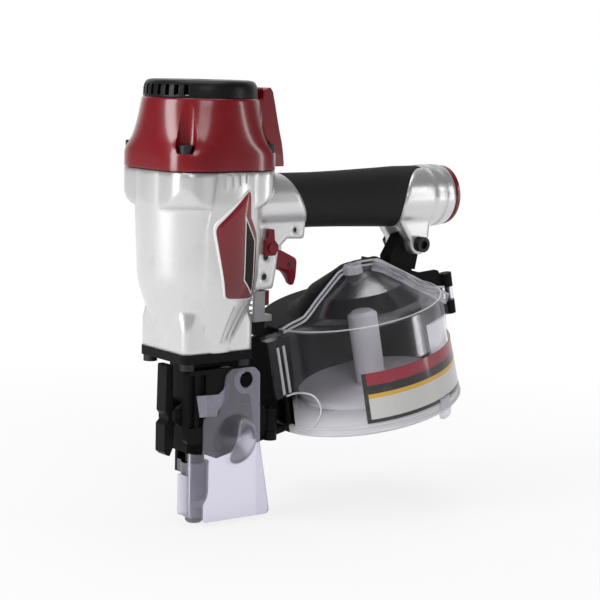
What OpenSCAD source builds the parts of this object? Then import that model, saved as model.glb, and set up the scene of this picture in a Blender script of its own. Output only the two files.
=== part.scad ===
/* [Cylinder] */
// Radius of the piston bore
bore_r = 22; // [20:0.5:22.5]
// Wall of the cylinder sleeve
sleeve_wall = 2; // [1.5:0.25:2.5]
// Travel of the piston
stroke = 94; // [84:1:95]
// Thickness of the piston
piston_h = 9.5; // [7:0.5:10]
// Radius of the driver blade
driver_r = 3.2; // [2.6:0.1:3.3]
// Height of the rubber bumper
bumper_h = 15; // [12:1:17]

/* [Body] */
// Height of the body's lower face above the contact tip
nose_h = 109; // [107:1:112]
// Height of the body casting up to the gasket
body_h = 108.2; // [107:0.2:110]
// Radius of the barrel just under the top bosses
barrel_top_r = 38.6; // [37.5:0.1:40]
// Radius of the barrel where its lower blend starts
barrel_mid_r = 36.8; // [35.5:0.1:38]
// Height of the blend from the barrel to the square base
blend_h = 50; // [40:1:56]
// Half width of the square base
base_half = 25.2; // [24.6:0.1:27]
// Half the distance between the nose bolts
nose_bolt_half = 20.2; // [19.6:0.1:20.8]
// Place of the top bosses' centres inside the barrel's radius
lobe_inset = 15.1; // [13.6:0.1:16.1]
// Radius of the top bosses
lobe_r = 12.5; // [11.5:0.1:14]
// Place of the cap bolts outside the bosses' centres
bolt_offset = 5.5; // [4.5:0.1:6.1]
// Wall of the barrel around the air chamber
barrel_wall = 7.6; // [6.6:0.1:9.6]

/* [Cap] */
// Height of the cylinder cap
cap_h = 41.6; // [39:0.2:44]
// Thickness of the cap's bolt flange
cap_flange_h = 10; // [8:0.5:11]
// Step of the cap's upper rim inside the barrel's radius
cap_taper = 3.4; // [2.1:0.1:3.8]
// Step of the cap's foot outside the barrel's radius
cap_lip = 0.6; // [0:0.1:1.4]
// Thickness of the gasket
gasket_h = 0.8; // [0.5:0.1:1.2]
// Height of the exhaust deflector
deflector_h = 10.1; // [9:0.1:12]
// Rim of the cap left around the exhaust deflector
deflector_rim = 1; // [0.8:0.1:2.2]
// Number of exhaust slots
slot_count = 9; // [5:1:11]

/* [Handle] */
// Height of the handle's axis under the body's top face
handle_drop = 21.2; // [20:0.2:22]
// Radius of the grip at its front
grip_front_r = 17.3; // [16.5:0.1:18]
// Radius of the grip at its rear
grip_rear_r = 19.8; // [19:0.1:20.2]
// Radius of the handle core under the grip
core_r = 14.8; // [14:0.1:15.4]
// Place of the grip's slanted front edge on the handle axis
grip_front_x = 66.5; // [65:0.5:69]
// Place of the grip's round rear edge on the handle axis
grip_rear_x = 146; // [143:0.5:150]
// Rear end of the handle casting
handle_end_x = 192; // [188:0.5:196]
// Radius of the handle's rear end
end_r = 20.5; // [20:0.1:21]
// Radius of the threaded air inlet before tapping
inlet_r = 7.2; // [6:0.1:7.5]

/* [Trigger] */
// Distance of the trigger pivot from the driver axis
trigger_x = 42; // [41.5:0.1:42.5]
// Drop of the trigger pivot under the handle axis
trigger_drop = 33; // [32.5:0.1:33.5]
// Half thickness of the trigger web
web_half = 12; // [11:0.1:12.5]
// Half width of the slot in the web
slot_half = 7; // [6.9:0.1:7.4]
// Radius of the web's roll pins
pin_r = 2; // [1.6:0.1:2.2]

/* [Magazine] */
// Tilt of the magazine
mag_tilt = 12; // [11:0.5:13]
// Distance of the drum's centre from the driver axis
mag_x = 125.3; // [124:0.1:127]
// Sideways place of the split between base and cover
mag_y = -10.3; // [-10.8:0.1:-9.8]
// Height of the drum's floor at its centre
mag_z = 63.3; // [62.5:0.1:64]
// Outer radius of the drum at its floor
drum_low_r = 62; // [61:0.5:63]
// Outer radius of the drum at its shoulder
drum_top_r = 58.4; // [57:0.2:59]
// Height of the drum's wall
drum_h = 67.5; // [66:0.5:69]
// Height of the dome above the drum's floor
dome_h = 91; // [88:0.5:93]
// Place of the coil's centre along the magazine
coil_x = 8; // [6:0.5:10]
// Wall of the base and the cover
shell = 2.4; // [2:0.1:3]
// Radius of the nail support's centre post
post_r = 9.6; // [9:0.1:12]
// Height of the nail support's centre post
post_h = 48; // [44:1:52]

/* [Nose] */
// Half width of the nail channel
channel_half = 4; // [3.8:0.1:4.2]
// Lower end of the fixed nose tube
tube_z = 24; // [23:0.5:26]
// Height of the contact foot
foot_h = 38; // [34:1:39]
// Radius of the nail exit in the contact foot
exit_r = 4; // [3.5:0.1:4.2]
// Radius of the contact foot's tip
tip_r = 5.6; // [5.4:0.1:6]
// Thickness of the debris shield
shield_t = 1.2; // [0.8:0.1:1.4]

/* [Fits] */
// Clearance of a piece that runs on a shaft or in a bore
run_gap = 0.05; // [0.03:0.01:0.08]
// Clearance between pieces that pass each other
free_gap = 0.35; // [0.3:0.05:0.5]

/* [Hidden] */

// Heights along the driver axis
body_z = nose_h;
top_z = body_z + body_h;
cap_z = top_z + gasket_h;
cap_top = cap_z + cap_h;
deflector_z = cap_top + free_gap;
handle_z = top_z - handle_drop;

// Cylinder and piston
floor_h = 3;
bumper_z = body_z + floor_h;
bumper_top = bumper_z + bumper_h;
piston_z = bumper_top + 0.5 + stroke;
sleeve_or = bore_r + sleeve_wall;
sleeve_z = body_z + 11;
sleeve_top = piston_z + piston_h + 1;
seat_z = body_z + 49;
seat_h = 6;
return_h = 12;
return_r = sleeve_or + 4;
seal_h = 2;
seal_depth = 1;
driver_tip = stroke + 1.5;
driver_hole = driver_r + 0.4;
ring_h = 3;
ring_depth = 2.2;

// Cap and head valve
cavity_top = cap_top - 7.6;
valve_web = 4;
valve_skirt = 7;
valve_bore = 9;
valve_seal_h = 1.7;
valve_z = sleeve_top + free_gap + valve_seal_h;
chamber_r = barrel_top_r - barrel_wall;
valve_r = chamber_r - run_gap;
bolt_seat = cap_z + cap_flange_h;
bolt_r = 2.5;
bolt_head_r = 4.25;
bolt_head_h = 5;
bolt_depth = 12;
hex_r = 2.3;
channel_r = 6;
cap_low_r = barrel_top_r + cap_lip;
cap_top_r = barrel_top_r - cap_taper;
deflector_r = cap_top_r - deflector_rim;
lobe_half = barrel_top_r - lobe_inset;
cap_bolt_half = lobe_half + bolt_offset;
flange_r = lobe_half * sqrt(2) + lobe_r;
corner_r = lobe_r + 1.5;
corner_half = (flange_r + (sqrt(2) - 1) * corner_r) / sqrt(2);
cap_corner_r = lobe_r + 7.5;
cap_half = (flange_r + (sqrt(2) - 1) * cap_corner_r) / sqrt(2);
spur_x = 41;
spur_h = 6.4;
spur_half = 15;
neck_x = 32;
neck_r = 19.6;
neck_low_r = 7;
neck_drop = 40;
deflector_bolt_r = 3;
deflector_wall = 2.6;
slot_w = 2.4;
slot_step = 11;

// Barrel outline and side panel
blend_steps = 12;
panel_rise = 1;
badge_t = 0.9;
pillar_r = 5;
lobe_drop = 22;
flute_w = 1.6;
flute_step = 5;

// Handle and lug
grip_slope = 0.48;
grip_tail_r = 25;
air_r = 11;
spigot_r = 16.5;
spigot_len = 10;
ring_len = 4;
ring_r = end_r - 0.9;
boss_len = 3.5;
boss_r = 12.5;
lug_x = handle_end_x - 26.5;
lug_z = handle_z - 30.7;
lug_r = 6.7;
lug_in = 5;
lug_head_r = 5;
lug_head_h = 5;
lug_nut_r = 5.8;
lug_nut_h = 4.5;
lug_out = 13;
lug_bolt_r = 3;

// Trigger group
trigger_z = handle_z - trigger_drop;
lock_x = trigger_x + 2.2;
lock_z = trigger_z + 5.6;
guide_pin_x = trigger_x - 0.8;
guide_pin_z = trigger_z - 12.3;
valve_x = trigger_x + 17.5;
valve_pin_x = valve_x + 4.5;
valve_pin_z = trigger_z + 15.7;
valve_low = trigger_z + 9.2;
valve_body_r = 5.5;
stem_r = 2.5;
stem_low = trigger_z + 1.3;
stem_collar = valve_low + 14;
valve_body_top = valve_low + 28;
lever_pin_x = trigger_x + 22.4;
lever_pin_z = trigger_z - 6.5;
lever_pin_r = 1.5;
lever_half = 3;
trigger_half = slot_half - 1;

// Contact arm
arm_travel = 7;
rod_x = trigger_x + 6.4;
rod_r = 1.9;
rod_top = trigger_z - 8;
plate_z = trigger_z - 41;
plate_top = trigger_z - 22;
plate_y = -slot_half + free_gap;
plate_t = 1.8;
base_h = 4;
cross_h = 8;
dial_r = 4.4;
dial_z = plate_z + 9.5;
dial_h = 9;
arm_x = trigger_x - 4;
arm_w = 8;
arm_y = 12;
arm_t = 2.5;
strip_z = 86;
strip_h = 9;
foot_w = 8.6;

// Nose
flange_h = 5.5;
flange_z = body_z - flange_h;
column_x = 12;
column_near = -9;
door_t = 4.6;
column_far = 11;
column_z = foot_h + arm_travel + 1;
tube_r = 5.8;
guide_t = 3;
guide_x = 10;
guide_low = 1.1;
guide_floor = 4;
guide_end = -64;
door_x = 50;
door_y = -9;
door_pin_r = 2;
knuckle_r = 4.4;
knuckle_h = 14;
latch_x = -17.5;
latch_z = 69;
latch_half = 5;
latch_pin_r = 1.5;
ear_t = 3.6;

// Magazine, in its own tilted frame
dome_r = 16;
dome_mid_r = 32;
dome_foot_r = 48;
wing_x = 78;
hinge_x = 82;
hinge_r = 4;
hinge_pin_r = 1.8;
hinge_z = 38;
hinge_step = 9.3;
split_gap = 0.3;
throat_x = 73;
throat_y = 9;
throat_z = 27;
spindle_r = 5;
spindle_h = 40;
tray_r = 48;
tray_z = 10;
tray_t = 3;
pad_x = 27;
pad_end = 57;
pad_top = dome_h - 1;
pad_low = drum_h + 7.5;

// Feed, in the magazine's frame
feed_x = -drum_low_r - 24;
feed_len = 26;
feed_r = 9;
feed_bore = 7;
feed_y = 26.5;
feed_z = 18;
feed_rod_r = 2.5;
pawl_x = -99;
pawl_pin_r = 1.5;
tongue_half = 1.3;

// Height of the nail guide's lower edge at a distance x from the driver axis
function guide_z(x) = mag_z + (x - mag_x) * tan(mag_tilt) + guide_low / cos(mag_tilt);

// X and Z of a point given in the magazine's tilted frame
function from_drum(x, z) = [mag_x + x * cos(mag_tilt) - z * sin(mag_tilt),
                            mag_z + x * sin(mag_tilt) + z * cos(mag_tilt)];

// Radius of the barrel at a step of its lower blend
function blend_r(t) = base_half + (barrel_mid_r - base_half) * (1 - cos(180 * t)) / 2;

// Points of a coil of wire, ring by ring
function coil_ring(r, wire, a, z, n) = [for (k = [0 : n - 1])
    [(r + wire * cos(360 * k / n)) * cos(a), (r + wire * cos(360 * k / n)) * sin(a),
     z + wire * sin(360 * k / n)]];

// Extrudes an outline drawn in X and Z from y0 to y1
module side_plate(y0, y1) {
    translate([0, y1, 0])
        rotate([90, 0, 0])
            linear_extrude(y1 - y0)
                children();
}

// Round bar along Y
module bar_y(x, z, r, y0, y1) {
    translate([x, y1, z])
        rotate([90, 0, 0])
            cylinder(r = r, h = y1 - y0);
}

// Round bar along X on the handle's axis
module bar_x(x0, x1, r) {
    translate([x0, 0, handle_z])
        rotate([0, 90, 0])
            cylinder(r = r, h = x1 - x0);
}

// Round bar along Z
module bar_z(x, y, r, z0, z1) {
    translate([x, y, z0])
        cylinder(r = r, h = z1 - z0);
}

// Block between two corners
module block(low, high) {
    translate(low)
        cube(high - low);
}

// Ring around the driver axis
module ring(r_out, r_in, z0, z1) {
    difference() {
        bar_z(0, 0, r_out, z0, z1);
        bar_z(0, 0, r_in, z0 - 1, z1 + 1);
    }
}

// Copies at the corners of a square
module at_corners(half) {
    for (x = [-half, half], y = [-half, half])
        translate([x, y, 0])
            children();
}

// Rounds the outer corners of an outline
module soft(r) {
    offset(r, $fn = 32)
        offset(delta = -r)
            children();
}

// Square plate with round corners
module square_plate(half, r, z0, z1) {
    translate([0, 0, z0])
        linear_extrude(z1 - z0)
            soft(r)
                square(2 * half, center = true);
}

// Hexagon socket cut into a bolt head
module hex_cut(z, depth) {
    translate([0, 0, z])
        cylinder(r = hex_r, h = depth, $fn = 6);
}

// Coil spring standing on z0
module coil(r, wire, turns, z0, z1) {
    sides = 6;
    rings = 8;
    count = turns * rings;
    points = [for (i = [0 : count])
        each coil_ring(r, wire, 360 * i / rings, z0 + wire + (z1 - z0 - 2 * wire) * i / count, sides)];
    walls = [for (i = [0 : count - 1], k = [0 : sides - 1], half = [0, 1])
        let (a = i * sides + k, b = i * sides + (k + 1) % sides)
            half == 0 ? [a, b, b + sides] : [a, b + sides, a + sides]];
    first = [for (k = [sides - 1 : -1 : 0]) k];
    last = [for (k = [0 : sides - 1]) count * sides + k];
    polyhedron(points, concat(walls, [first, last]), convexity = 10);
}

// Places children in the magazine's tilted frame
module in_drum() {
    translate([mag_x, mag_y, mag_z])
        rotate([0, -mag_tilt, 0])
            children();
}

// Outer form of the barrel, grown by extra
module barrel(extra = 0) {
    low = [for (i = [0 : blend_steps])
        [blend_r(i / blend_steps) + extra, body_z + blend_h * i / blend_steps]];
    high = [[barrel_top_r + extra, top_z - lobe_r - 6], [barrel_top_r + extra, top_z]];
    rotate_extrude()
        polygon(concat([[0, body_z]], low, high, [[0, top_z]]));
}

// Outline in X and Z of the raised side panel
module panel_outline() {
    polygon([[-12, top_z], [-17, top_z - 32], [-16.5, body_z + 40], [-12, body_z + 21], [-12, body_z],
             [20, body_z], [21, body_z + 31], [22, top_z - 39], [20, top_z - 22], [22, top_z]]);
}

// Outline in X and Z of the side badge
module badge_outline() {
    soft(2)
        polygon([[12, body_z + 98], [14, body_z + 97], [14, body_z + 80], [18, body_z + 68],
                 [16.5, body_z + 35], [-5.5, body_z + 33], [-13.5, body_z + 70], [-13, body_z + 76]]);
}

// Slanted ribs below the badge
module panel_ribs() {
    for (i = [0 : 2])
        polygon([[4 + 6 * i, body_z + 28], [6 + 6 * i, body_z + 28],
                 [1 + 4 * i, body_z + 6 + 2 * i], [-1 + 4 * i, body_z + 6 + 2 * i]]);
    for (i = [0 : 3])
        translate([-8 + flute_step * i, top_z - 10 + 1.2 * i])
            square([flute_w, 9 - 1.2 * i]);
}

// Region of the handle in front of the grip, in X and Z
module neck_side(off) {
    reach = 26;
    polygon([[0, handle_z - reach], [grip_front_x + off + reach * grip_slope, handle_z - reach],
             [grip_front_x + off - reach * grip_slope, handle_z + reach], [0, handle_z + reach]]);
}

// Region of the handle behind the grip's round rear edge
module end_side(gap) {
    centre_x = grip_rear_x + grip_tail_r;
    block([centre_x, -40, handle_z - 40], [handle_end_x + 40, 40, handle_z + 40]);
    bar_y(centre_x, handle_z - 6, grip_tail_r - gap, -40, 40);
}

// Ear of the rear lug, in X and Z
module ear_outline() {
    translate([lug_x, lug_z])
        circle(lug_r, $fn = 48);
    polygon([[lug_x - 17, handle_z - 15], [lug_x - 11, lug_z + 7.2], [lug_x - 7, lug_z + 2],
             [lug_x - lug_r + 0.2, lug_z - 1], [lug_x + lug_r - 0.2, lug_z - 1], [lug_x + 8, lug_z + 6],
             [lug_x + 8.4, handle_z - 15]]);
}

// Web that carries the trigger, in X and Z
module web_outline() {
    soft(2.5)
        polygon([[24, handle_z], [68, handle_z - 1], [72, handle_z - 8], [71, handle_z - 23],
                 [58, handle_z - 22.5], [51.5, handle_z - 28], [49.5, handle_z - 43],
                 [47.5, handle_z - 53], [24, handle_z - 53]]);
}

// Solid outside of the main casting
module body_outside() {
    barrel();
    intersection() {
        square_plate(base_half, pillar_r, body_z, body_z + 30);
        translate([0, 0, body_z - 1])
            cylinder(r1 = base_half + 12, r2 = base_half + 5, h = 31);
    }
    intersection() {
        square_plate(corner_half, corner_r, top_z - lobe_drop, top_z);
        rotate_extrude()
            polygon([[0, top_z - lobe_drop], [barrel_top_r - 1, top_z - lobe_drop],
                     [flange_r - 4.9, top_z - lobe_drop + 1.5], [flange_r - 2.6, top_z - lobe_drop + 4],
                     [flange_r - 1, top_z - lobe_drop + 7.5], [flange_r, top_z - lobe_drop + 12],
                     [flange_r + 1, top_z], [0, top_z]]);
    }
    intersection() {
        barrel(panel_rise);
        side_plate(-60, -12)
            panel_outline();
    }
    intersection() {
        barrel(panel_rise + 0.8);
        side_plate(-60, -12)
            panel_ribs();
    }
    translate([neck_x, 0, top_z - neck_drop])
        cylinder(r1 = neck_low_r, r2 = neck_r, h = neck_drop);
    intersection() {
        bar_x(20, grip_front_x + 20, grip_front_r);
        side_plate(-30, 30)
            neck_side(-free_gap);
    }
    bar_x(20, handle_end_x - spigot_len - 2, core_r);
    intersection() {
        translate([0, 0, handle_z])
            rotate([0, 90, 0])
                rotate_extrude()
                    polygon([[0, grip_rear_x - 6], [end_r - 0.6, grip_rear_x - 6],
                             [end_r - 0.6, handle_end_x - 19], [end_r, handle_end_x - 17.5],
                             [end_r, handle_end_x - 11], [end_r - 0.5, handle_end_x - 10.5],
                             [end_r - 0.5, handle_end_x - 9], [end_r, handle_end_x - 8.5],
                             [end_r, handle_end_x - 3.4], [end_r - 0.5, handle_end_x - 1.6],
                             [end_r - 1.6, handle_end_x - 0.5], [end_r - 3, handle_end_x],
                             [0, handle_end_x]]);
        end_side(free_gap);
    }
    side_plate(-web_half, web_half)
        web_outline();
    for (y = [-lug_out, lug_in])
        side_plate(y, y + lug_out - lug_in)
            ear_outline();
}

// Every hollow of the main casting
module body_inside() {
    bar_z(0, 0, chamber_r, seat_z + seat_h, top_z + 1);
    bar_z(0, 0, sleeve_or + run_gap, sleeve_z, top_z);
    bar_z(0, 0, return_r, seat_z - return_h, seat_z);
    bar_z(0, 0, bore_r - 1, bumper_z, sleeve_z + 1);
    bar_z(0, 0, driver_r + 2, body_z - 1, bumper_z + 1);
    at_corners(cap_bolt_half)
        bar_z(0, 0, bolt_r + run_gap, top_z - bolt_depth, top_z + 1);
    at_corners(nose_bolt_half)
        bar_z(0, 0, bolt_r + run_gap, body_z - 1, body_z + 15);
    bar_x(26, handle_end_x + 1, air_r);
    bar_x(handle_end_x - spigot_len, handle_end_x + 1, spigot_r + run_gap);
    bar_z(valve_x, 0, valve_body_r + run_gap, trigger_z, handle_z);
    block([trigger_x - 4.8, -slot_half, trigger_z - 30], [trigger_x + 40, slot_half, valve_low]);
    bar_y(trigger_x, trigger_z, pin_r + run_gap, -web_half - 1, web_half + 1);
    bar_y(guide_pin_x, guide_pin_z, pin_r + run_gap, -web_half - 1, web_half + 1);
    bar_y(valve_pin_x, valve_pin_z, lever_pin_r + run_gap, -web_half - 1, web_half + 1);
    bar_y(lock_x, lock_z, pin_r + run_gap, -web_half - 1, -slot_half - 0.8);
    bar_y(lug_x, lug_z, lug_bolt_r + run_gap, -lug_out - 1, lug_out + 1);
}

module main_body() {
    color("silver")
        difference() {
            body_outside();
            body_inside();
        }
}

// Crimson cap over the cylinder, with open channels down to its bolts
module cylinder_cap() {
    skirt = [[flange_r, cap_z], [flange_r, bolt_seat - 1], [flange_r - 1, bolt_seat + 2],
             [flange_r - 3.2, bolt_seat + 5], [flange_r - 5.4, bolt_seat + 7.5],
             [flange_r - 6.8, bolt_seat + 10.5], [flange_r - 7.8, bolt_seat + 15]];
    color("firebrick")
        difference() {
            union() {
                rotate_extrude()
                    polygon([[0, cap_z], [cap_low_r, cap_z], [cap_low_r - 0.3, bolt_seat],
                             [cap_top_r, cap_top - 1.2], [cap_top_r - 0.8, cap_top], [0, cap_top]]);
                intersection() {
                    rotate_extrude()
                        polygon(concat([[0, cap_z]], skirt, [[0, bolt_seat + 15]]));
                    square_plate(cap_half, cap_corner_r, cap_z, cap_top);
                }
                bar_z(neck_x, 0, neck_r, cap_z, bolt_seat + 1);
                side_plate(-spur_half, spur_half)
                    soft(2)
                        polygon([[20, cap_z + 4], [neck_x + neck_r - 0.4, cap_z + 4],
                                 [neck_x + neck_r - 1.4, bolt_seat + 3], [spur_x + 3.4, cap_top - 3],
                                 [spur_x + 1, cap_top + spur_h], [deflector_r + 1, cap_top + spur_h],
                                 [deflector_r + 0.6, cap_top], [20, cap_top - 2]]);
            }
            bar_z(0, 0, chamber_r, cap_z - 1, cavity_top);
            bar_z(0, 0, deflector_bolt_r + run_gap, cavity_top - 1, cap_top + 1);
            bar_z(0, 0, deflector_r + 0.6, cap_top, cap_top + spur_h + 1);
            for (i = [0 : 5])
                rotate(60 * i)
                    bar_z(15, 0, 4.5, cavity_top - 1, cap_top + 1);
            at_corners(cap_bolt_half) {
                bar_z(0, 0, bolt_r + run_gap, cap_z - 1, bolt_seat + 1);
                bar_z(0, 0, channel_r, bolt_seat, cap_top + 1);
            }
        }
}

module cap_gasket() {
    color("black")
        ring(barrel_top_r - 1.5, chamber_r + 0.5, top_z, cap_z);
}

module cap_bolts() {
    color("dimgray")
        at_corners(cap_bolt_half)
            difference() {
                union() {
                    bar_z(0, 0, bolt_r, top_z - bolt_depth + 1, bolt_seat + 1);
                    bar_z(0, 0, bolt_head_r, bolt_seat, bolt_seat + bolt_head_h);
                }
                hex_cut(bolt_seat + bolt_head_h - 2.6, 3);
            }
}

module cylinder_sleeve() {
    color("gainsboro")
        difference() {
            union() {
                bar_z(0, 0, sleeve_or, sleeve_z, sleeve_top);
                bar_z(0, 0, sleeve_or + 2, seat_z + seat_h, seat_z + seat_h + 4);
            }
            bar_z(0, 0, bore_r, sleeve_z - 1, sleeve_top + 1);
            for (z = [sleeve_z + 4, seat_z + 2])
                ring(sleeve_or + 1, sleeve_or - seal_depth, z, z + seal_h);
            for (i = [0 : 7])
                rotate(45 * i)
                    translate([bore_r - 1, 0, seat_z - 6])
                        rotate([0, 90, 0])
                            cylinder(r = 1.5, h = sleeve_wall + 2);
        }
}

module sleeve_seals() {
    color("black")
        for (z = [sleeve_z + 4, seat_z + 2])
            ring(sleeve_or, sleeve_or - seal_depth, z, z + seal_h);
}

module bumper() {
    r = bore_r - 1 - run_gap;
    color("dimgray")
        rotate_extrude()
            polygon([[driver_r + 1.3, bumper_z], [r, bumper_z], [r, bumper_z + 6], [r - 4, bumper_top - 5],
                     [r - 2, bumper_top], [driver_r + 1.3, bumper_top]]);
}

module side_badge() {
    color("firebrick")
        intersection() {
            difference() {
                barrel(panel_rise + badge_t);
                barrel(panel_rise);
            }
            side_plate(-60, -12)
                badge_outline();
        }
}

// Rubber sleeve over the handle, slanted in front and hollowed behind
module handle_grip() {
    front = grip_front_x - 30;
    rear = grip_rear_x + grip_tail_r + 1;
    color([0.12, 0.12, 0.12])
        difference() {
            translate([0, 0, handle_z])
                rotate([0, 90, 0])
                    rotate_extrude()
                        polygon([[core_r + run_gap, front], [grip_front_r, front],
                                 [grip_front_r, grip_front_x + 18], [grip_front_r + 0.5, grip_front_x + 38],
                                 [grip_rear_r - 0.6, grip_rear_x - 6], [grip_rear_r, grip_rear_x + 6],
                                 [grip_rear_r, rear], [core_r + run_gap, rear]]);
            end_side(0);
            side_plate(-30, 30)
                neck_side(0);
            side_plate(-lug_out - free_gap, lug_out + free_gap)
                offset(delta = free_gap)
                    ear_outline();
            side_plate(-web_half - free_gap, web_half + free_gap)
                offset(delta = free_gap)
                    web_outline();
        }
}

// Ring that closes the handle and carries the air inlet
module end_cap() {
    color("firebrick")
        translate([0, 0, handle_z])
            rotate([0, 90, 0])
                rotate_extrude()
                    polygon([[inlet_r, handle_end_x - spigot_len], [spigot_r, handle_end_x - spigot_len],
                             [spigot_r, handle_end_x], [ring_r - 0.8, handle_end_x],
                             [ring_r, handle_end_x + 0.8], [ring_r, handle_end_x + ring_len - 1.4],
                             [ring_r - 1.4, handle_end_x + ring_len], [boss_r, handle_end_x + ring_len],
                             [boss_r, handle_end_x + ring_len + boss_len - 0.8],
                             [boss_r - 0.8, handle_end_x + ring_len + boss_len],
                             [inlet_r, handle_end_x + ring_len + boss_len]]);
}

module roll_pins() {
    color("dimgray") {
        bar_y(trigger_x, trigger_z, pin_r, -web_half + 0.5, web_half - 0.5);
        bar_y(guide_pin_x, guide_pin_z, pin_r, -web_half + 0.5, web_half - 0.5);
        bar_y(valve_pin_x, valve_pin_z, lever_pin_r, -web_half + 0.5, web_half - 0.5);
    }
}

module trigger_valve() {
    color([0.15, 0.15, 0.15])
        difference() {
            union() {
                bar_z(valve_x, 0, valve_body_r, valve_low, valve_body_top);
                bar_z(valve_x, 0, valve_body_r - 1.2, valve_low - 0.8, valve_low + 1);
            }
            bar_z(valve_x, 0, stem_r + run_gap, valve_low - 2, stem_collar);
            bar_z(valve_x, 0, valve_body_r - 1.4, stem_collar - 2, valve_body_top - 2);
            bar_y(valve_pin_x, valve_pin_z, lever_pin_r + run_gap, -web_half, web_half);
        }
}

// Nose: flange under the body, driver column, tube for the foot and the nail guide
module nose_casting() {
    color([0.13, 0.13, 0.13])
        difference() {
            union() {
                square_plate(base_half + 0.3, pillar_r, flange_z, body_z);
                block([-column_x, column_near, column_z], [column_x, column_far, flange_z + 1]);
                bar_z(0, 0, tube_r, tube_z, column_z + 1);
                side_plate(channel_half, channel_half + guide_t)
                    polygon([[guide_x, guide_z(guide_x)], from_drum(guide_end, guide_low),
                             from_drum(guide_end, drum_h - 4), [arm_x, flange_z + 4],
                             [30, flange_z - 4], [guide_x, flange_z - 4]]);
                side_plate(column_near + 0.4, channel_half + guide_t)
                    polygon([[guide_x, guide_z(guide_x)], from_drum(guide_end, guide_low),
                             from_drum(guide_end, guide_low + guide_floor),
                             [guide_x, guide_z(guide_x) + guide_floor]]);
                bar_z(door_x, door_y, knuckle_r, guide_z(door_x) - 1, guide_z(door_x) + guide_floor + 1);
                for (y = [-latch_half - ear_t - free_gap, latch_half + free_gap])
                    side_plate(y, y + ear_t)
                        soft(1.2)
                            polygon([[latch_x - 3.5, latch_z - 3.5], [latch_x - 3.5, latch_z + 3.5],
                                     [-column_x + 2, latch_z + 10], [-column_x + 2, latch_z - 10]]);
            }
            bar_z(0, 0, driver_hole, tube_z - 1, body_z + 1);
            block([0, -channel_half, column_z - 2], [column_x + 1, channel_half, driver_tip + 1]);
            at_corners(nose_bolt_half)
                bar_z(0, 0, bolt_r + run_gap, flange_z - 1, body_z + 1);
            bar_y(latch_x, latch_z, latch_pin_r + run_gap, -20, 20);
            bar_z(door_x, door_y, door_pin_r + run_gap, guide_z(door_x) - 2, body_z);
            in_drum()
                block([pawl_x - 9, channel_half - mag_y - 1, feed_z - 4],
                      [pawl_x + 13, channel_half - mag_y + guide_t + 1, feed_z + 4]);
        }
}

module nose_bolts() {
    color("black")
        at_corners(nose_bolt_half)
            difference() {
                union() {
                    bar_z(0, 0, bolt_r, flange_z - 1, body_z + 14);
                    bar_z(0, 0, bolt_head_r, flange_z - 4.2, flange_z);
                }
                hex_cut(flange_z - 5, 3);
            }
}

module feed_cylinder() {
    color([0.2, 0.2, 0.2])
        in_drum()
            translate([feed_x, feed_y, feed_z])
                difference() {
                    union() {
                        rotate([0, 90, 0])
                            cylinder(r = feed_r, h = feed_len);
                        block([2, channel_half - mag_y + guide_t - feed_y, -5], [feed_len - 2, 0, 5]);
                    }
                    translate([3, 0, 0])
                        rotate([0, 90, 0])
                            cylinder(r = feed_bore, h = feed_len - 6);
                    translate([-1, 0, 0])
                        rotate([0, 90, 0])
                            cylinder(r = feed_rod_r + run_gap, h = 6);
                }
}

// Outer form of the closed magazine, shrunk by inset
module drum_form(inset) {
    rotate_extrude()
        polygon([[0, inset], [drum_low_r - inset, inset], [drum_top_r - inset, drum_h - inset],
                 [0, drum_h - inset]]);
    translate([coil_x, 0, 0])
        rotate_extrude()
            polygon([[0, inset], [dome_foot_r - inset, inset], [dome_foot_r - inset, drum_h - inset],
                     [dome_foot_r - 6 - inset, drum_h + 2 - inset],
                     [dome_mid_r - inset, drum_h + 12 - inset], [dome_r - inset, dome_h - 3 - inset],
                     [dome_r - 5 - inset, dome_h - inset], [0, dome_h - inset]]);
}

// Flange of the split above and beside the drum, in the magazine's X and Z
module split_outline() {
    soft(3)
        polygon([[-throat_x + 14, drum_h + 1], [-dome_foot_r + coil_x, drum_h + 2.4],
                 [-dome_mid_r + coil_x + 2, drum_h + 14], [-dome_r + coil_x + 2, dome_h],
                 [coil_x, dome_h + 2.5], [coil_x + dome_r + 2, dome_h + 1], [48.6, drum_h + 10],
                 [61, drum_h + 4], [wing_x - 2, drum_h + 2], [wing_x, hinge_z + 26],
                 [wing_x, hinge_z], [54, hinge_z - 4], [54, drum_h - 12], [-54, drum_h - 12]]);
}

// Flange of the clear half, lower behind the dome
module cover_outline() {
    soft(2)
        polygon([[-throat_x + 14, drum_h + 1], [-dome_foot_r + coil_x, drum_h + 2.4],
                 [-dome_mid_r + coil_x + 2, drum_h + 14], [-dome_r + coil_x + 2, dome_h],
                 [coil_x, dome_h + 2.5], [coil_x + dome_r + 2, dome_h], [43, drum_h + 9.5], [56, drum_h - 2],
                 [64, hinge_z + 23], [wing_x, hinge_z + 19.4], [wing_x, hinge_z],
                 [54, hinge_z - 4], [54, drum_h - 12], [-54, drum_h - 12]]);
}

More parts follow.
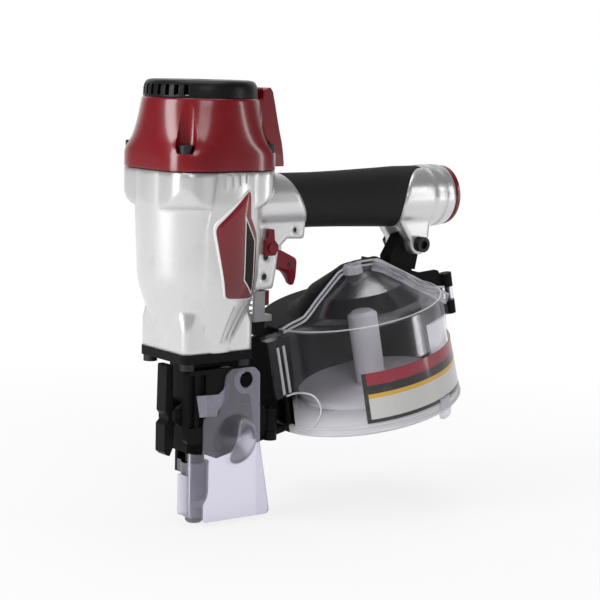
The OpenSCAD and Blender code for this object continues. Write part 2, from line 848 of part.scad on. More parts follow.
// Far half of the magazine with its floor, wing and hinge ears
module magazine_base() {
    color([0.1, 0.1, 0.1])
        in_drum()
            difference() {
                union() {
                    intersection() {
                        difference() {
                            drum_form(0);
                            drum_form(shell);
                        }
                        block([-80, 0, -1], [80, 80, dome_h + 5]);
                    }
                    bar_z(coil_x, 0, spindle_r + 4, 0, shell);
                    difference() {
                        side_plate(0, shell)
                            split_outline();
                        drum_form(0.5 * shell);
                    }
                    for (z = [hinge_z, hinge_z + 2 * hinge_step])
                        difference() {
                            union() {
                                bar_z(hinge_x, 0, hinge_r, z, z + hinge_step - free_gap);
                                block([wing_x - 2, 0, z], [hinge_x, shell, z + hinge_step - free_gap]);
                            }
                            bar_z(hinge_x, 0, hinge_pin_r + run_gap, z - 1, z + hinge_step);
                        }
                    difference() {
                        side_plate(-mag_y - lug_in - 1.5, -mag_y + lug_in + 1.5)
                            polygon([[pad_x - 4, pad_low], [pad_x, pad_top], [pad_end, pad_low],
                                     [pad_end, drum_h - 1], [pad_x + 8, drum_h - 1]]);
                        drum_form(0.5 * shell);
                    }
                    difference() {
                        block([guide_end, channel_half - mag_y, 8],
                              [-52, channel_half - mag_y + guide_t, drum_h - 2]);
                        drum_form(0.5 * shell);
                    }
                }
                block([-throat_x, shell, 5], [-50, channel_half - mag_y, drum_h - shell]);
                bar_z(coil_x, 0, spindle_r, -1, shell + 1);
            }
}

// Space below the pad's slanted top, in the magazine's X and Z
module below_pad() {
    reach = 60;
    drop = reach * (pad_top - pad_low) / (pad_end - pad_x);
    polygon([[pad_x - reach, pad_top + drop], [pad_end + reach, pad_low - drop],
             [pad_end + reach, 0], [pad_x - reach, 0]]);
}

// Arm from the handle's lug down to the pad on the magazine
module magazine_arm() {
    low = from_drum(pad_x + 12, pad_low - 10);
    high = from_drum(pad_end, pad_low - 10);
    color([0.1, 0.1, 0.1])
        difference() {
            side_plate(-lug_in, lug_in)
                polygon([low, [lug_x - 18, lug_z - 8], [lug_x - 9.5, lug_z + 5.3], [lug_x - 4, lug_z + lug_r],
                         [lug_x + 3, lug_z + lug_r], [lug_x + lug_r, lug_z + 3], [lug_x + lug_r, lug_z - 6],
                         high]);
            in_drum()
                side_plate(-mag_y - lug_in - 2, -mag_y + lug_in + 2)
                    below_pad();
            bar_y(lug_x, lug_z, lug_bolt_r + run_gap, -lug_in - 1, lug_in + 1);
            bar_x(grip_rear_x - 60, handle_end_x, end_r + free_gap);
        }
}

module lug_bolt() {
    color("black")
        difference() {
            union() {
                bar_y(lug_x, lug_z, lug_bolt_r, -lug_out - 1, lug_out + 1);
                bar_y(lug_x, lug_z, lug_head_r, -lug_out - lug_head_h, -lug_out);
                translate([lug_x, lug_out + lug_nut_h, lug_z])
                    rotate([90, 0, 0])
                        cylinder(r = lug_nut_r, h = lug_nut_h, $fn = 6);
            }
            translate([lug_x, -lug_out - 2.4, lug_z])
                rotate([90, 0, 0])
                    cylinder(r = 2.9, h = 4, $fn = 6);
        }
}

module magazine_spindle() {
    color("dimgray")
        in_drum()
            bar_z(coil_x, 0, spindle_r - run_gap, 0, spindle_h);
}

module door_hinge_pin() {
    z = guide_z(door_x);
    color("dimgray")
        bar_z(door_x, door_y, door_pin_r, z - 1, z + guide_floor + knuckle_h + 2);
}

module cover_hinge_pin() {
    color("dimgray")
        in_drum()
            bar_z(hinge_x, 0, hinge_pin_r, hinge_z, hinge_z + 3 * hinge_step - free_gap);
}

module latch_pin() {
    reach = latch_half + ear_t;
    color("dimgray")
        bar_y(latch_x, latch_z, latch_pin_r, -reach, reach);
}

module deflector_bolt() {
    z = deflector_z + deflector_h - 3.4;
    color("dimgray")
        difference() {
            union() {
                bar_z(0, 0, deflector_bolt_r, cavity_top - 2, z + 0.5);
                bar_z(0, 0, 5, z, z + 3);
            }
            hex_cut(z + 1, 3);
        }
}

// Black cap that turns to throw the exhaust where it is wanted
module exhaust_deflector() {
    z1 = deflector_z + deflector_h;
    r = deflector_r;
    color([0.1, 0.1, 0.1])
        difference() {
            rotate_extrude()
                polygon([[deflector_bolt_r + run_gap, deflector_z], [6, deflector_z], [6, z1 - 4.4],
                         [r - deflector_wall - 2, z1 - 4.4], [r - deflector_wall, deflector_z],
                         [r, deflector_z],
                         [r - 0.2, z1 - 5], [r - 1.2, z1 - 2], [r - 2.6, z1 - 0.6], [r - 4.4, z1],
                         [5.6, z1], [5.6, z1 - 3.7], [deflector_bolt_r + run_gap, z1 - 3.7]]);
            for (i = [0 : slot_count - 1])
                rotate(180 + slot_step * (i - (slot_count - 1) / 2))
                    block([r - 7, -slot_w / 2, deflector_z + 1.4], [r + 2, slot_w / 2, z1 - 4.6]);
        }
}

module head_valve() {
    color("gainsboro")
        rotate_extrude()
            polygon([[valve_bore, valve_z], [valve_r, valve_z], [valve_r, valve_z + valve_skirt],
                     [valve_r - 4, valve_z + valve_skirt], [valve_r - 4, valve_z + valve_web],
                     [valve_bore, valve_z + valve_web]]);
}

module head_valve_seal() {
    color("black")
        ring(sleeve_or + 1, bore_r - 3, valve_z - valve_seal_h, valve_z);
}

module head_valve_spring() {
    color("lightgray")
        coil(20, 1, 3, valve_z + valve_web + 0.2, cavity_top - 0.2);
}

module piston() {
    mid = piston_z + (piston_h - ring_h) / 2;
    color("lightgray")
        difference() {
            bar_z(0, 0, bore_r - run_gap, piston_z, piston_z + piston_h);
            ring(bore_r + 1, bore_r - ring_depth, mid, mid + ring_h);
            bar_z(0, 0, 12, piston_z + piston_h - 2, piston_z + piston_h + 1);
        }
}

module piston_ring() {
    mid = piston_z + (piston_h - ring_h) / 2;
    color("black")
        ring(bore_r - run_gap, bore_r - ring_depth, mid, mid + ring_h);
}

module driver_blade() {
    color("gainsboro") {
        bar_z(0, 0, driver_r, driver_tip, piston_z);
    }
}

// Finger trigger with a slot for its lever
module trigger() {
    x = trigger_x;
    z = trigger_z;
    color("firebrick")
        difference() {
            side_plate(-trigger_half, trigger_half)
                soft(1.5)
                    polygon([[x - 4.4, z - 3.5], [x - 4.4, z + 3.6], [x - 1, z + 4.6], [x + 10.2, z + 4.2],
                             [x + 24.5, z - 3.4], [x + 25.6, z - 14], [x + 24, z - 19.4],
                             [x + 20.2, z - 20.2], [x + 14.6, z - 11.8], [x + 9, z - 8], [x + 2, z - 5.2]]);
            block([x + 3.8, -lever_half - free_gap, z - 8.5], [x + 30, lever_half + free_gap, z + 8]);
            block([x + 1, -lever_half - free_gap, z - 8.5], [x + 4.5, lever_half + free_gap, z - pin_r - 2]);
            bar_y(x, z, pin_r + run_gap, -web_half, web_half);
            bar_y(lever_pin_x, lever_pin_z, lever_pin_r + run_gap, -web_half, web_half);
        }
}

module lever_pin() {
    color("dimgray")
        bar_y(lever_pin_x, lever_pin_z, lever_pin_r, -trigger_half, trigger_half);
}

// Lever inside the trigger that joins trigger, contact arm and valve stem
module trigger_lever() {
    x = trigger_x;
    z = trigger_z;
    color("gray")
        difference() {
            side_plate(-lever_half, lever_half)
                soft(0.8)
                    polygon([[x + 5, z - 2], [x + 5, z], [x + 19, z], [lever_pin_x + 2.2, lever_pin_z + 2.6],
                             [lever_pin_x + 2.2, lever_pin_z - 1.6], [lever_pin_x - 3, lever_pin_z - 1.6],
                             [x + 15, z - 3]]);
            bar_y(lever_pin_x, lever_pin_z, lever_pin_r + run_gap, -web_half, web_half);
        }
}

module valve_stem() {
    color("lightgray") {
        bar_z(valve_x, 0, stem_r, stem_low, stem_collar + 1.6);
        bar_z(valve_x, 0, valve_body_r - 1.4 - run_gap, stem_collar + 0.2, stem_collar + 1.6);
    }
}

module valve_spring() {
    color("lightgray")
        translate([valve_x, 0, 0])
            coil(3, 0.4, 4, stem_collar + 1.8, valve_body_top - 2.2);
}

module lock_lever() {
    x = lock_x;
    z = lock_z;
    face = -web_half - free_gap;
    color("firebrick") {
        side_plate(face - 3, face)
            soft(1)
                polygon([[x - 2.8, z + 11.6], [x + 1.4, z + 11.6], [x + 2, z + 4.8], [x + 4.6, z + 2],
                         [x + 4.8, z - 1.5], [x + 2.4, z - 4.6], [x - 4.6, z - 4.8], [x - 4.4, z + 4.6],
                         [x - 2.8, z + 6.4]]);
        bar_y(x, z, 3.2, face - 4.4, face - 2);
        bar_y(x, z, pin_r, face - 1, -slot_half - 1.2);
    }
}

// Foot that is pressed on the work, sliding on the nose tube
module contact_foot() {
    color([0.25, 0.25, 0.26])
        difference() {
            union() {
                rotate_extrude()
                    polygon([[0, 0], [tip_r - 1, 0], [tip_r, 1.2], [tip_r, 10], [foot_w - 0.6, 15],
                             [foot_w, 19], [foot_w, foot_h], [0, foot_h]]);
                block([-5, 0, foot_h - 8], [5, arm_y, foot_h]);
            }
            bar_z(0, 0, exit_r, -1, foot_h);
            bar_z(0, 0, tube_r + free_gap, tube_z - arm_travel - 0.5, foot_h + 1);
        }
}

// Bent strip from the foot, round the far side of the nose, up to the trigger
module contact_arm() {
    y0 = arm_y;
    y1 = arm_y + arm_t;
    color([0.12, 0.12, 0.12]) {
        block([-5, y0, foot_h - 8], [9, y1, strip_z + strip_h]);
        block([-5, y0, strip_z], [arm_x + arm_w, y1, strip_z + strip_h]);
        block([arm_x, y0, strip_z], [arm_x + arm_w, y1, plate_z]);
        block([arm_x, plate_y, plate_z - cross_h], [arm_x + arm_w, y1, plate_z]);
    }
}

module contact_plate() {
    color("darkgray") {
        block([arm_x, plate_y, plate_z], [arm_x + arm_w, plate_y + plate_t, plate_top]);
        block([arm_x, plate_y, plate_z], [rod_x + 3, 3, plate_z + base_h]);
        bar_z(rod_x, 0, rod_r, plate_z + 1, rod_top);
    }
}

module contact_spring() {
    color("lightgray")
        translate([guide_pin_x, 0, 0])
            coil(2, 0.35, 6, plate_z + base_h + 0.2, guide_pin_z - pin_r - 0.2);
}

module depth_dial() {
    color("firebrick")
        translate([rod_x, 0, dial_z])
            difference() {
                cylinder(r = dial_r, h = dial_h);
                translate([0, 0, -1])
                    cylinder(r = rod_r + run_gap, h = dial_h + 2);
                for (i = [0 : 11])
                    rotate(30 * i)
                        translate([dial_r, 0, -1])
                            cylinder(r = 0.5, h = dial_h + 2);
            }
}

module feed_piston() {
    color("lightgray")
        in_drum()
            translate([0, feed_y, feed_z])
                difference() {
                    union() {
                        rotate([0, 90, 0]) {
                            translate([0, 0, feed_x + 5])
                                cylinder(r = feed_bore - run_gap, h = 6);
                            translate([0, 0, pawl_x + 4])
                                cylinder(r = feed_rod_r, h = feed_x - pawl_x + 2);
                        }
                        block([pawl_x - 2.6, -2.2, -tongue_half], [pawl_x + 4.6, 2.2, tongue_half]);
                    }
                    bar_z(pawl_x, 0, pawl_pin_r, -4, 4);
                }
}

module feed_pawl() {
    color("gray")
        in_drum()
            difference() {
                translate([0, 0, feed_z - 3.4])
                    linear_extrude(6.8)
                        polygon([[pawl_x - 3.5, feed_y - 3], [pawl_x - 3.5, feed_y + 3.5],
                                 [pawl_x + 3.6, feed_y + 3.5], [pawl_x + 3.6, feed_y - 3],
                                 [pawl_x + 2, feed_y - 6], [pawl_x, channel_half - mag_y - 2],
                                 [pawl_x - 4, channel_half - mag_y - 2]]);
                block([pawl_x - 6, feed_y - 4, feed_z - tongue_half - free_gap],
                      [pawl_x + 6, feed_y + 6, feed_z + tongue_half + free_gap]);
                bar_z(pawl_x, feed_y, pawl_pin_r + run_gap, feed_z - 5, feed_z + 5);
            }
}

module pawl_pin() {
    color("dimgray")
        in_drum()
            bar_z(pawl_x, feed_y, pawl_pin_r, feed_z - 4, feed_z + 4);
}

// Door over the nail channel, with its upright rod in front
module feed_door() {
    near = column_near - free_gap - door_t;
    back = column_near - free_gap;
    low = guide_z(door_x) + guide_floor + 1 + free_gap;
    color([0.12, 0.12, 0.12])
        difference() {
            union() {
                difference() {
                    side_plate(near, back)
                        soft(4)
                            polygon([[-16, 52], [7, 52], [20, 60], [20, 97], [-16, 97]]);
                    block([-14, near - 1, 62], [-2, near + 2.6, 94]);
                }
                bar_z(-8, near + 2, 1.8, 60, 95);
                side_plate(back - 1, -channel_half - free_gap)
                    polygon([[column_x + 1, guide_z(column_x) + guide_floor + 1],
                             [door_x - 5, guide_z(door_x - 5) + guide_floor + 0.8], [door_x - 5, 70],
                             [26, 72], [20, 96], [column_x + 1, 96]]);
                bar_z(door_x, door_y, knuckle_r, low, low + knuckle_h);
                block([door_x - 8, back - 1, low], [door_x, back + 2, low + knuckle_h]);
            }
            bar_z(door_x, door_y, door_pin_r + run_gap, 40, 90);
        }
}

// Clear sheet around the front of the nose
module debris_shield() {
    y = column_near - free_gap - door_t - 0.2;
    bend = 6;
    color([0.8, 0.8, 0.9, 0.4]) {
        difference() {
            side_plate(y - shield_t, y)
                soft(3)
                    polygon([[-4, 2.5], [46.5, 2], [38, 48], [37, 92], [33, 96], [16, 96], [12, 92], [10, 78],
                             [6, 68], [-4, 68]]);
            bar_y(27, 88.5, 5, -40, 0);
        }
        translate([-4, y + bend, 6])
            rotate([0, 0, 180])
                rotate_extrude(angle = 90)
                    translate([bend, 0])
                        square([shield_t, column_z - 2 * free_gap - 6]);
        block([-4 - bend - shield_t, y + bend, 6], [-4 - bend, 2, 31]);
    }
}

// Lever in front of the nose that holds the door shut
module door_latch() {
    x = latch_x;
    z = latch_z;
    color([0.12, 0.12, 0.12])
        difference() {
            side_plate(-latch_half, latch_half)
                soft(1)
                    polygon([[x - 7, z + 31.4], [x - 2.4, z + 31.4], [x - 2, z + 6], [x + 2.6, z + 3.4],
                             [x + 2.6, z - 3.4], [x - 1, z - 6], [x - 1.6, z - 19], [x - 4.4, z - 25],
                             [x - 8, z - 22], [x - 8, z - 5], [x - 5.4, z - 2.4], [x - 5.4, z],
                             [x - 7.6, z + 3]]);
            bar_y(x, z, latch_pin_r + run_gap, -10, 10);
        }
}

// Clear near half of the magazine, hinged behind
module magazine_cover() {
    color([0.55, 0.55, 0.6, 0.4])
        in_drum()
            difference() {
                union() {
                    intersection() {
                        difference() {
                            drum_form(0);
                            drum_form(shell);
                        }
                        block([-80, -80, -1], [80, -split_gap, dome_h + 5]);
                    }
                    difference() {
                        side_plate(-split_gap - shell, -split_gap)
                            cover_outline();
                        drum_form(0.5 * shell);
                    }
                    bar_z(hinge_x, 0, hinge_r, hinge_z + hinge_step, hinge_z + 2 * hinge_step - free_gap);
                    block([wing_x - 2, -split_gap - shell, hinge_z + hinge_step],
                          [hinge_x, -split_gap, hinge_z + 2 * hinge_step - free_gap]);
                    difference() {
                        union() {
                            block([-throat_x, -throat_y, throat_z], [-50, -throat_y + shell, drum_h - 1.5]);
                            block([-throat_x, -throat_y, drum_h - 1.5 - shell],
                                  [-50, -split_gap, drum_h - 1.5]);
                            for (i = [0 : 2])
                                block([-throat_x + 4 + 4.5 * i, -throat_y - 1.4, throat_z + 2],
                                      [-throat_x + 5.6 + 4.5 * i, -throat_y + 1, drum_h - 8]);
                        }
                        drum_form(0.5 * shell);
                    }
                }
                block([-throat_x - 1, -throat_y + shell, 5], [-50, 1, drum_h - 1.5 - shell]);
                bar_z(hinge_x, 0, hinge_pin_r + run_gap, hinge_z - 1, hinge_z + 40);
                bar_z(coil_x, 0, spindle_r + 4 + free_gap, -1, shell + 1);
            }
}

// Label on the cover's wall
module cover_label() {
    z0 = 7;
    z1 = 38.6;
    taper = (drum_low_r - drum_top_r) / drum_h;
    r0 = drum_low_r + run_gap - taper * z0;
    r1 = drum_low_r + run_gap - taper * z1;
    color("whitesmoke")
        in_drum()
            rotate([0, 0, -127])
                rotate_extrude(angle = 100)
                    polygon([[r0, z0], [r0 + 0.4, z0], [r1 + 0.4, z1], [r1, z1]]);
}

// Tray and centre post that carry the coil of nails
module nail_support() {
    color("lightgray")
        in_drum()
            translate([coil_x, 0, 0])
                difference() {
                    union() {
                        bar_z(0, 0, tray_r, tray_z, tray_z + tray_t);
                        bar_z(0, 0, post_r, tray_z + 1, tray_z + post_h);
                        translate([0, 0, tray_z + post_h])
                            cylinder(r1 = post_r, r2 = post_r - 3, h = 2.4);
                    }
                    bar_z(0, 0, spindle_r, tray_z - 1, tray_z + post_h - 8);
                }
}

main_body();
cylinder_cap();
cap_gasket();
cap_bolts();
cylinder_sleeve();
sleeve_seals();
bumper();
side_badge();
handle_grip();
end_cap();
roll_pins();
trigger_valve();
nose_casting();
nose_bolts();
feed_cylinder();
magazine_base();
magazine_arm();
lug_bolt();
magazine_spindle();
door_hinge_pin();
cover_hinge_pin();
latch_pin();
deflector_bolt();
exhaust_deflector();
head_valve();
head_valve_seal();
head_valve_spring();
piston();
piston_ring();
driver_blade();
trigger();
lever_pin();
trigger_lever();
valve_stem();
valve_spring();
lock_lever();
contact_foot();
contact_arm();
contact_plate();
contact_spring();
depth_dial();
feed_piston();
feed_pawl();
pawl_pin();
feed_door();
debris_shield();
door_latch();
magazine_cover();
cover_label();
nail_support();
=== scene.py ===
import bmesh
import bpy
import math
from mathutils import Matrix, Vector


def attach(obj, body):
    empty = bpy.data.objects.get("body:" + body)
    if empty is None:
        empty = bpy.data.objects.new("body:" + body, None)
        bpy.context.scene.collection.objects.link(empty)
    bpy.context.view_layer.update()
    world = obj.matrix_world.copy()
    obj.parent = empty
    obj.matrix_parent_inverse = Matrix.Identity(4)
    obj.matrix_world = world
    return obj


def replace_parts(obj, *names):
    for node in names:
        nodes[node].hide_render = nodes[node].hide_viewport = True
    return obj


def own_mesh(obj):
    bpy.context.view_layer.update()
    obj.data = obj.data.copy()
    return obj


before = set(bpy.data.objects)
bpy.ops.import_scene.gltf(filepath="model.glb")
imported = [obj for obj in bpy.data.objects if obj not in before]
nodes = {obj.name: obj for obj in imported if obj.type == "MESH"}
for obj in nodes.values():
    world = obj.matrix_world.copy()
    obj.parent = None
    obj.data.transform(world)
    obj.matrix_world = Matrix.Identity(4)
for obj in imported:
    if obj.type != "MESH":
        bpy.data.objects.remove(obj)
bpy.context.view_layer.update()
scene = bpy.context.scene
scene.view_settings.view_transform = "Standard"
print("frame loaded:", len(nodes), "nodes")

white = (1.0, 1.0, 1.0)
upright, sideways = Vector((0.0, 0.0, 1.0)), Vector((0.0, 1.0, 0.0))

# In the dictionaries below, a texture is its noise scale, detail and roughness, an edge is where it starts
# and where it is full, a bump is its strength and depth in metres, and a vary is what clouds and dust add.

# faces round a turned form, by its size
sides = {"shell": 144, "large": 96, "middle": 48, "small": 24}

# worn and soiled patches of every finish
soiling = {"patches": (38.0, 5.0, 0.62), "patchEdge": (0.5, 0.78),
           "specks": (260.0, 2.0), "speckEdge": (0.35, 0.7)}


class Wire:
    # a socket that works in Python expressions

    def __init__(self, finish, socket):
        self.finish = finish
        self.socket = socket

    def calc(self, operation, *values):
        return self.finish.node("ShaderNodeMath", {"operation": operation}, dict(enumerate(values)))

    def __add__(self, other):
        return self.calc("ADD", self, other)

    def __radd__(self, other):
        return self.calc("ADD", other, self)

    def __sub__(self, other):
        return self.calc("SUBTRACT", self, other)

    def __rsub__(self, other):
        return self.calc("SUBTRACT", other, self)

    def __mul__(self, other):
        return self.calc("MULTIPLY", self, other)

    def __rmul__(self, other):
        return self.calc("MULTIPLY", other, self)

    def __truediv__(self, other):
        return self.calc("DIVIDE", self, other)

    def __rtruediv__(self, other):
        return self.calc("DIVIDE", other, self)

    def __abs__(self):
        return self.calc("ABSOLUTE", self)

    def atLeast(self, other):
        return self.calc("MAXIMUM", self, other)

    def atMost(self, other):
        return self.calc("MINIMUM", self, other)

    def angle(self, other):
        return self.calc("ARCTAN2", self, other)

    def root(self):
        return self.calc("SQRT", self)

    def edge(self, start, end):
        # 0 below start, 1 above end
        return self.finish.node("ShaderNodeMapRange", {"clamp": True},
                                {"Value": self, "From Min": start, "From Max": end})

    def parts(self):
        split = self.finish.node("ShaderNodeSeparateXYZ", {}, {0: self}, None)
        return [Wire(self.finish, out) for out in split.outputs]


class Finish:
    # the nodes of one material or world

    def __init__(self, owner, shaderKind="ShaderNodeBsdfPrincipled", **fixed):
        owner.use_nodes = True
        self.owner = owner
        self.tree = owner.node_tree
        self.tree.nodes.clear()
        world = isinstance(owner, bpy.types.World)
        self.output = self.tree.nodes.new("ShaderNodeOutputWorld" if world else "ShaderNodeOutputMaterial")
        self.shader = self.node(shaderKind, {}, fixed, None)
        self.show(self.shader)

    def show(self, shader):
        self.tree.links.new(shader.outputs[0], self.output.inputs["Surface"])

    def layer(self, factor, lower, upper):
        # two shaders, the upper one by factor
        made = self.node("ShaderNodeMixShader", {}, {0: factor}, None)
        self.tree.links.new(lower.outputs[0], made.inputs[1])
        self.tree.links.new(upper.outputs[0], made.inputs[2])
        self.show(made)
        return made

    def feed(self, node, sockets):
        for key, value in sockets.items():
            socket = node.inputs[key]
            if isinstance(value, Wire):
                self.tree.links.new(value.socket, socket)
            elif isinstance(value, tuple):
                socket.default_value = (*value, 1.0)  # a colour
            else:
                socket.default_value = value

    def node(self, kind, settings, sockets, result=0):
        made = self.tree.nodes.new(kind)
        for key, value in settings.items():
            setattr(made, key, value)
        self.feed(made, sockets)
        return made if result is None else Wire(self, made.outputs[result])

    def set(self, **sockets):
        self.feed(self.shader, {key.replace("_", " "): value for key, value in sockets.items()})

    def place(self):
        return self.node("ShaderNodeTexCoord", {}, {}, "Object")

    def millimetres(self):
        return [part * 1000.0 for part in self.place().parts()]

    def noise(self, scale, detail=3.0, rough=0.5):
        return self.node("ShaderNodeTexNoise", {}, {"Vector": self.place(), "Scale": scale,
                                                    "Detail": detail, "Roughness": rough})

    def cells(self, scale):
        return self.node("ShaderNodeTexVoronoi", {}, {"Vector": self.place(), "Scale": scale}, "Distance")

    def mix(self, factor, first, second):
        return self.node("ShaderNodeMix", {"data_type": "RGBA"}, {0: factor, 6: first, 7: second}, 2)

    def soft(self, radius):
        # normal with rounded edges
        return self.node("ShaderNodeBevel", {"samples": 8}, {"Radius": radius})

    def bump(self, height, strength, distance, normal=None):
        sockets = {"Height": height, "Strength": strength, "Distance": distance}
        if normal:
            sockets["Normal"] = normal
        return self.node("ShaderNodeBump", {}, sockets)

    def wear(self):
        # worn and soiled patches, 0 to 1
        patches = self.noise(*soiling["patches"]).edge(*soiling["patchEdge"])
        return patches * self.noise(*soiling["specks"]).edge(*soiling["speckEdge"])


def dress(finish, *names):
    for name in names:
        mesh = nodes[name].data
        mesh.materials.clear()
        mesh.materials.append(finish.owner)


def newFinish(name, **fixed):
    return Finish(bpy.data.materials.new(name), **fixed)


def glossyFinish(name, shine, coatRough):
    return newFinish(name, **{"Specular IOR Level": shine, "Coat Roughness": coatRough})


def ringMesh(name, rings):
    # closed skin through rings of points in millimetres
    count = len(rings[0])
    points = [[0.001 * part for part in point] for ring in rings for point in ring]
    faces = [tuple(reversed(range(count))), tuple(range(len(points) - count, len(points)))]
    for start in range(0, len(points) - count, count):
        for k in range(count):
            a, b = start + k, start + (k + 1) % count
            faces.append((a, b, b + count, a + count))
    mesh = bpy.data.meshes.new(name)
    mesh.from_pydata(points, [], faces)
    skin = bmesh.new()
    skin.from_mesh(mesh)
    bmesh.ops.recalc_face_normals(skin, faces=skin.faces)
    skin.to_mesh(mesh)
    skin.free()
    return mesh


def softCorners(outline, radius, steps=4, reach=0.45):
    # flat outline with each corner turned into a short curve, up to a share of its sides
    points = [Vector(point) for point in outline]
    run = []
    for k, corner in enumerate(points):
        ends = []
        for other in (points[k - 1], points[(k + 1) % len(points)]):
            side = other - corner
            ends.append(corner + side * min(reach, radius / side.length))
        for i in range(steps + 1):
            t = i / steps
            run.append(ends[0] * (1.0 - t) ** 2 + corner * (2.0 * t * (1.0 - t)) + ends[1] * t ** 2)
    return run


def fineRun(outline, step):
    # closed outline with points added along its long sides
    run = []
    for k, point in enumerate(outline):
        after = outline[(k + 1) % len(outline)]
        parts = max(1, round((after - point).length / step))
        run += [point.lerp(after, i / parts) for i in range(parts)]
    return run


def rounded(path, steps=5):
    # smooth run through the points of a path
    path = [Vector(point) for point in path]
    ends = [2.0 * path[0] - path[1]] + path + [2.0 * path[-1] - path[-2]]
    run = []
    for a, b, c, d in zip(ends, ends[1:], ends[2:], ends[3:]):
        for k in range(steps):
            t = k / steps
            run.append(0.5 * (2.0 * b + (c - a) * t + (2.0 * a - 5.0 * b + 4.0 * c - d) * t * t
                              + (3.0 * b - a - 3.0 * c + d) * t * t * t))
    return run + [path[-1]]


def heading(run, k):
    # direction of a run at its point k
    return (run[min(k + 1, len(run) - 1)] - run[max(k - 1, 0)]).normalized()


def besideRun(run, away):
    # the same run moved off to one side
    return [point + heading(run, k).cross(sideways) * away for k, point in enumerate(run)]


def circle(count):
    # cosine and sine of even turns
    turns = [2.0 * math.pi * k / count for k in range(count)]
    return [(math.cos(t), math.sin(t)) for t in turns]


def squared(c, s, power):
    # 1 on a circle, and towards a square as the power grows
    return (abs(c) ** power + abs(s) ** power) ** (1.0 / power)


def turnedMesh(name, x, y, profile, count=sides["middle"]):
    # upright turned form from (radius, height) pairs
    return ringMesh(name, [[(x + r * c, y + r * s, z) for c, s in circle(count)] for r, z in profile])


def sweptMesh(name, path, half, across, count=14, square=2.0):
    # bar along a path, half wide along across and half thick the other way
    rings = []
    for k, point in enumerate(path):
        along = heading(path, k)
        side = (across - along * across.dot(along)).normalized()
        up = along.cross(side)
        ring = []
        for c, s in circle(count):
            r = 1.0 / squared(c, s, square)
            ring.append(point + side * (half[0] * r * c) + up * (half[1] * r * s))
        rings.append(ring)
    return ringMesh(name, rings)


def shrunk(outline, middle, share):
    # outline in X and Z drawn in towards its middle
    mx, mz = middle
    return [(mx + (x - mx) * share, mz + (z - mz) * share) for x, z in outline]


def plateMesh(name, outline, levels):
    # plate across Y from an outline in X and Z, drawn in by a share at each level
    middle = [sum(point[i] for point in outline) / len(outline) for i in (0, 1)]
    return ringMesh(name, [[(x, y, z) for x, z in shrunk(outline, middle, share)] for y, share in levels])


def bore(name, x, y, radius, low, high, count=sides["middle"]):
    # step that cuts an upright round hole
    return "DIFFERENCE", turnedMesh(name, x, y, [(radius, low), (radius, high)], count)


def cutAcross(name, outline, half):
    # step that cuts an outline in X and Z, as far as half to both sides
    return "DIFFERENCE", plateMesh(name, outline, [(half, 1.0), (-half, 1.0)])


def combine(name, base, steps):
    # base mesh with other meshes joined to it or cut out of it
    holder = bpy.data.objects.new(name, base)
    scene.collection.objects.link(holder)
    tools = []
    for operation, mesh in steps:
        tool = bpy.data.objects.new("tool", mesh)
        scene.collection.objects.link(tool)
        tools.append(tool)
        step = holder.modifiers.new("step", "BOOLEAN")
        step.operation, step.object, step.solver = operation, tool, "EXACT"
    made = bpy.data.meshes.new_from_object(holder.evaluated_get(bpy.context.evaluated_depsgraph_get()))
    for used in tools + [holder]:
        bpy.data.objects.remove(used)
    made.name = name
    return made


def addPiece(name, mesh, finish, body, slot, sharp=35.0):
    # smooth where faces meet at less than sharp, in degrees
    piece = bpy.data.objects.new(name, mesh)
    scene.collection.objects.link(piece)
    mesh.materials.clear()
    mesh.materials.append(finish.owner)
    for face in mesh.polygons:
        face.use_smooth = True
    mesh.set_sharp_from_angle(angle=math.radians(sharp))
    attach(piece, body)
    return piece


# satin silver casting
casting = {"colour": (0.7, 0.702, 0.7), "dark": (0.6, 0.602, 0.6), "soil": (0.3, 0.295, 0.29),
           "metal": 0.7, "shine": 0.4, "rough": 0.26, "roughVary": (0.08, 0.12),
           "coat": 0.2, "coatRough": 0.14, "coatWorn": 0.15,
           "grain": (1500.0, 2.0), "pits": (300.0, 2.0), "pitShare": 0.5, "bump": (0.1, 0.0002),
           "edge": 0.0045, "clouds": (22.0, 4.0, 0.6), "cloudEdge": (0.3, 0.75), "cloudShare": 0.3,
           "soilShare": 0.25}


def makeCasting():
    f = glossyFinish("satinCasting", casting["shine"], casting["coatRough"])
    grain = f.noise(*casting["grain"]) + f.noise(*casting["pits"]) * casting["pitShare"]
    cloud = f.noise(*casting["clouds"])
    dust = f.wear()
    cloudRough, dustRough = casting["roughVary"]
    clouded = cloud.edge(*casting["cloudEdge"]) * casting["cloudShare"]
    colour = f.mix(clouded, casting["colour"], casting["dark"])
    f.set(Base_Color=f.mix(dust * casting["soilShare"], colour, casting["soil"]), Metallic=casting["metal"],
          Roughness=casting["rough"] + cloud * cloudRough + dust * dustRough,
          Coat_Weight=casting["coat"] - dust * casting["coatWorn"],
          Normal=f.bump(grain, *casting["bump"], f.soft(casting["edge"])))
    return f


# crimson paint with a clear coat, and the same colour moulded in plastic
crimson = {"crimsonPaint": {"colour": (0.2, 0.003, 0.009), "edge": 0.0015, "rough": 0.3, "coat": 1.0},
           "crimsonPlastic": {"colour": (0.19, 0.006, 0.016), "edge": 0.0005, "rough": 0.4, "coat": 0.15},
           "deep": (0.13, 0.0015, 0.005), "scuff": (0.3, 0.06, 0.065), "shine": 0.2, "coatRough": 0.17,
           "clouds": (30.0, 3.0), "cloudEdge": (0.35, 0.7), "cloudShare": 0.4, "scuffShare": 0.12,
           "roughVary": (0.08, 0.2), "coatWorn": 0.2, "peel": (700.0, 2.0), "bump": (0.04, 0.0002)}


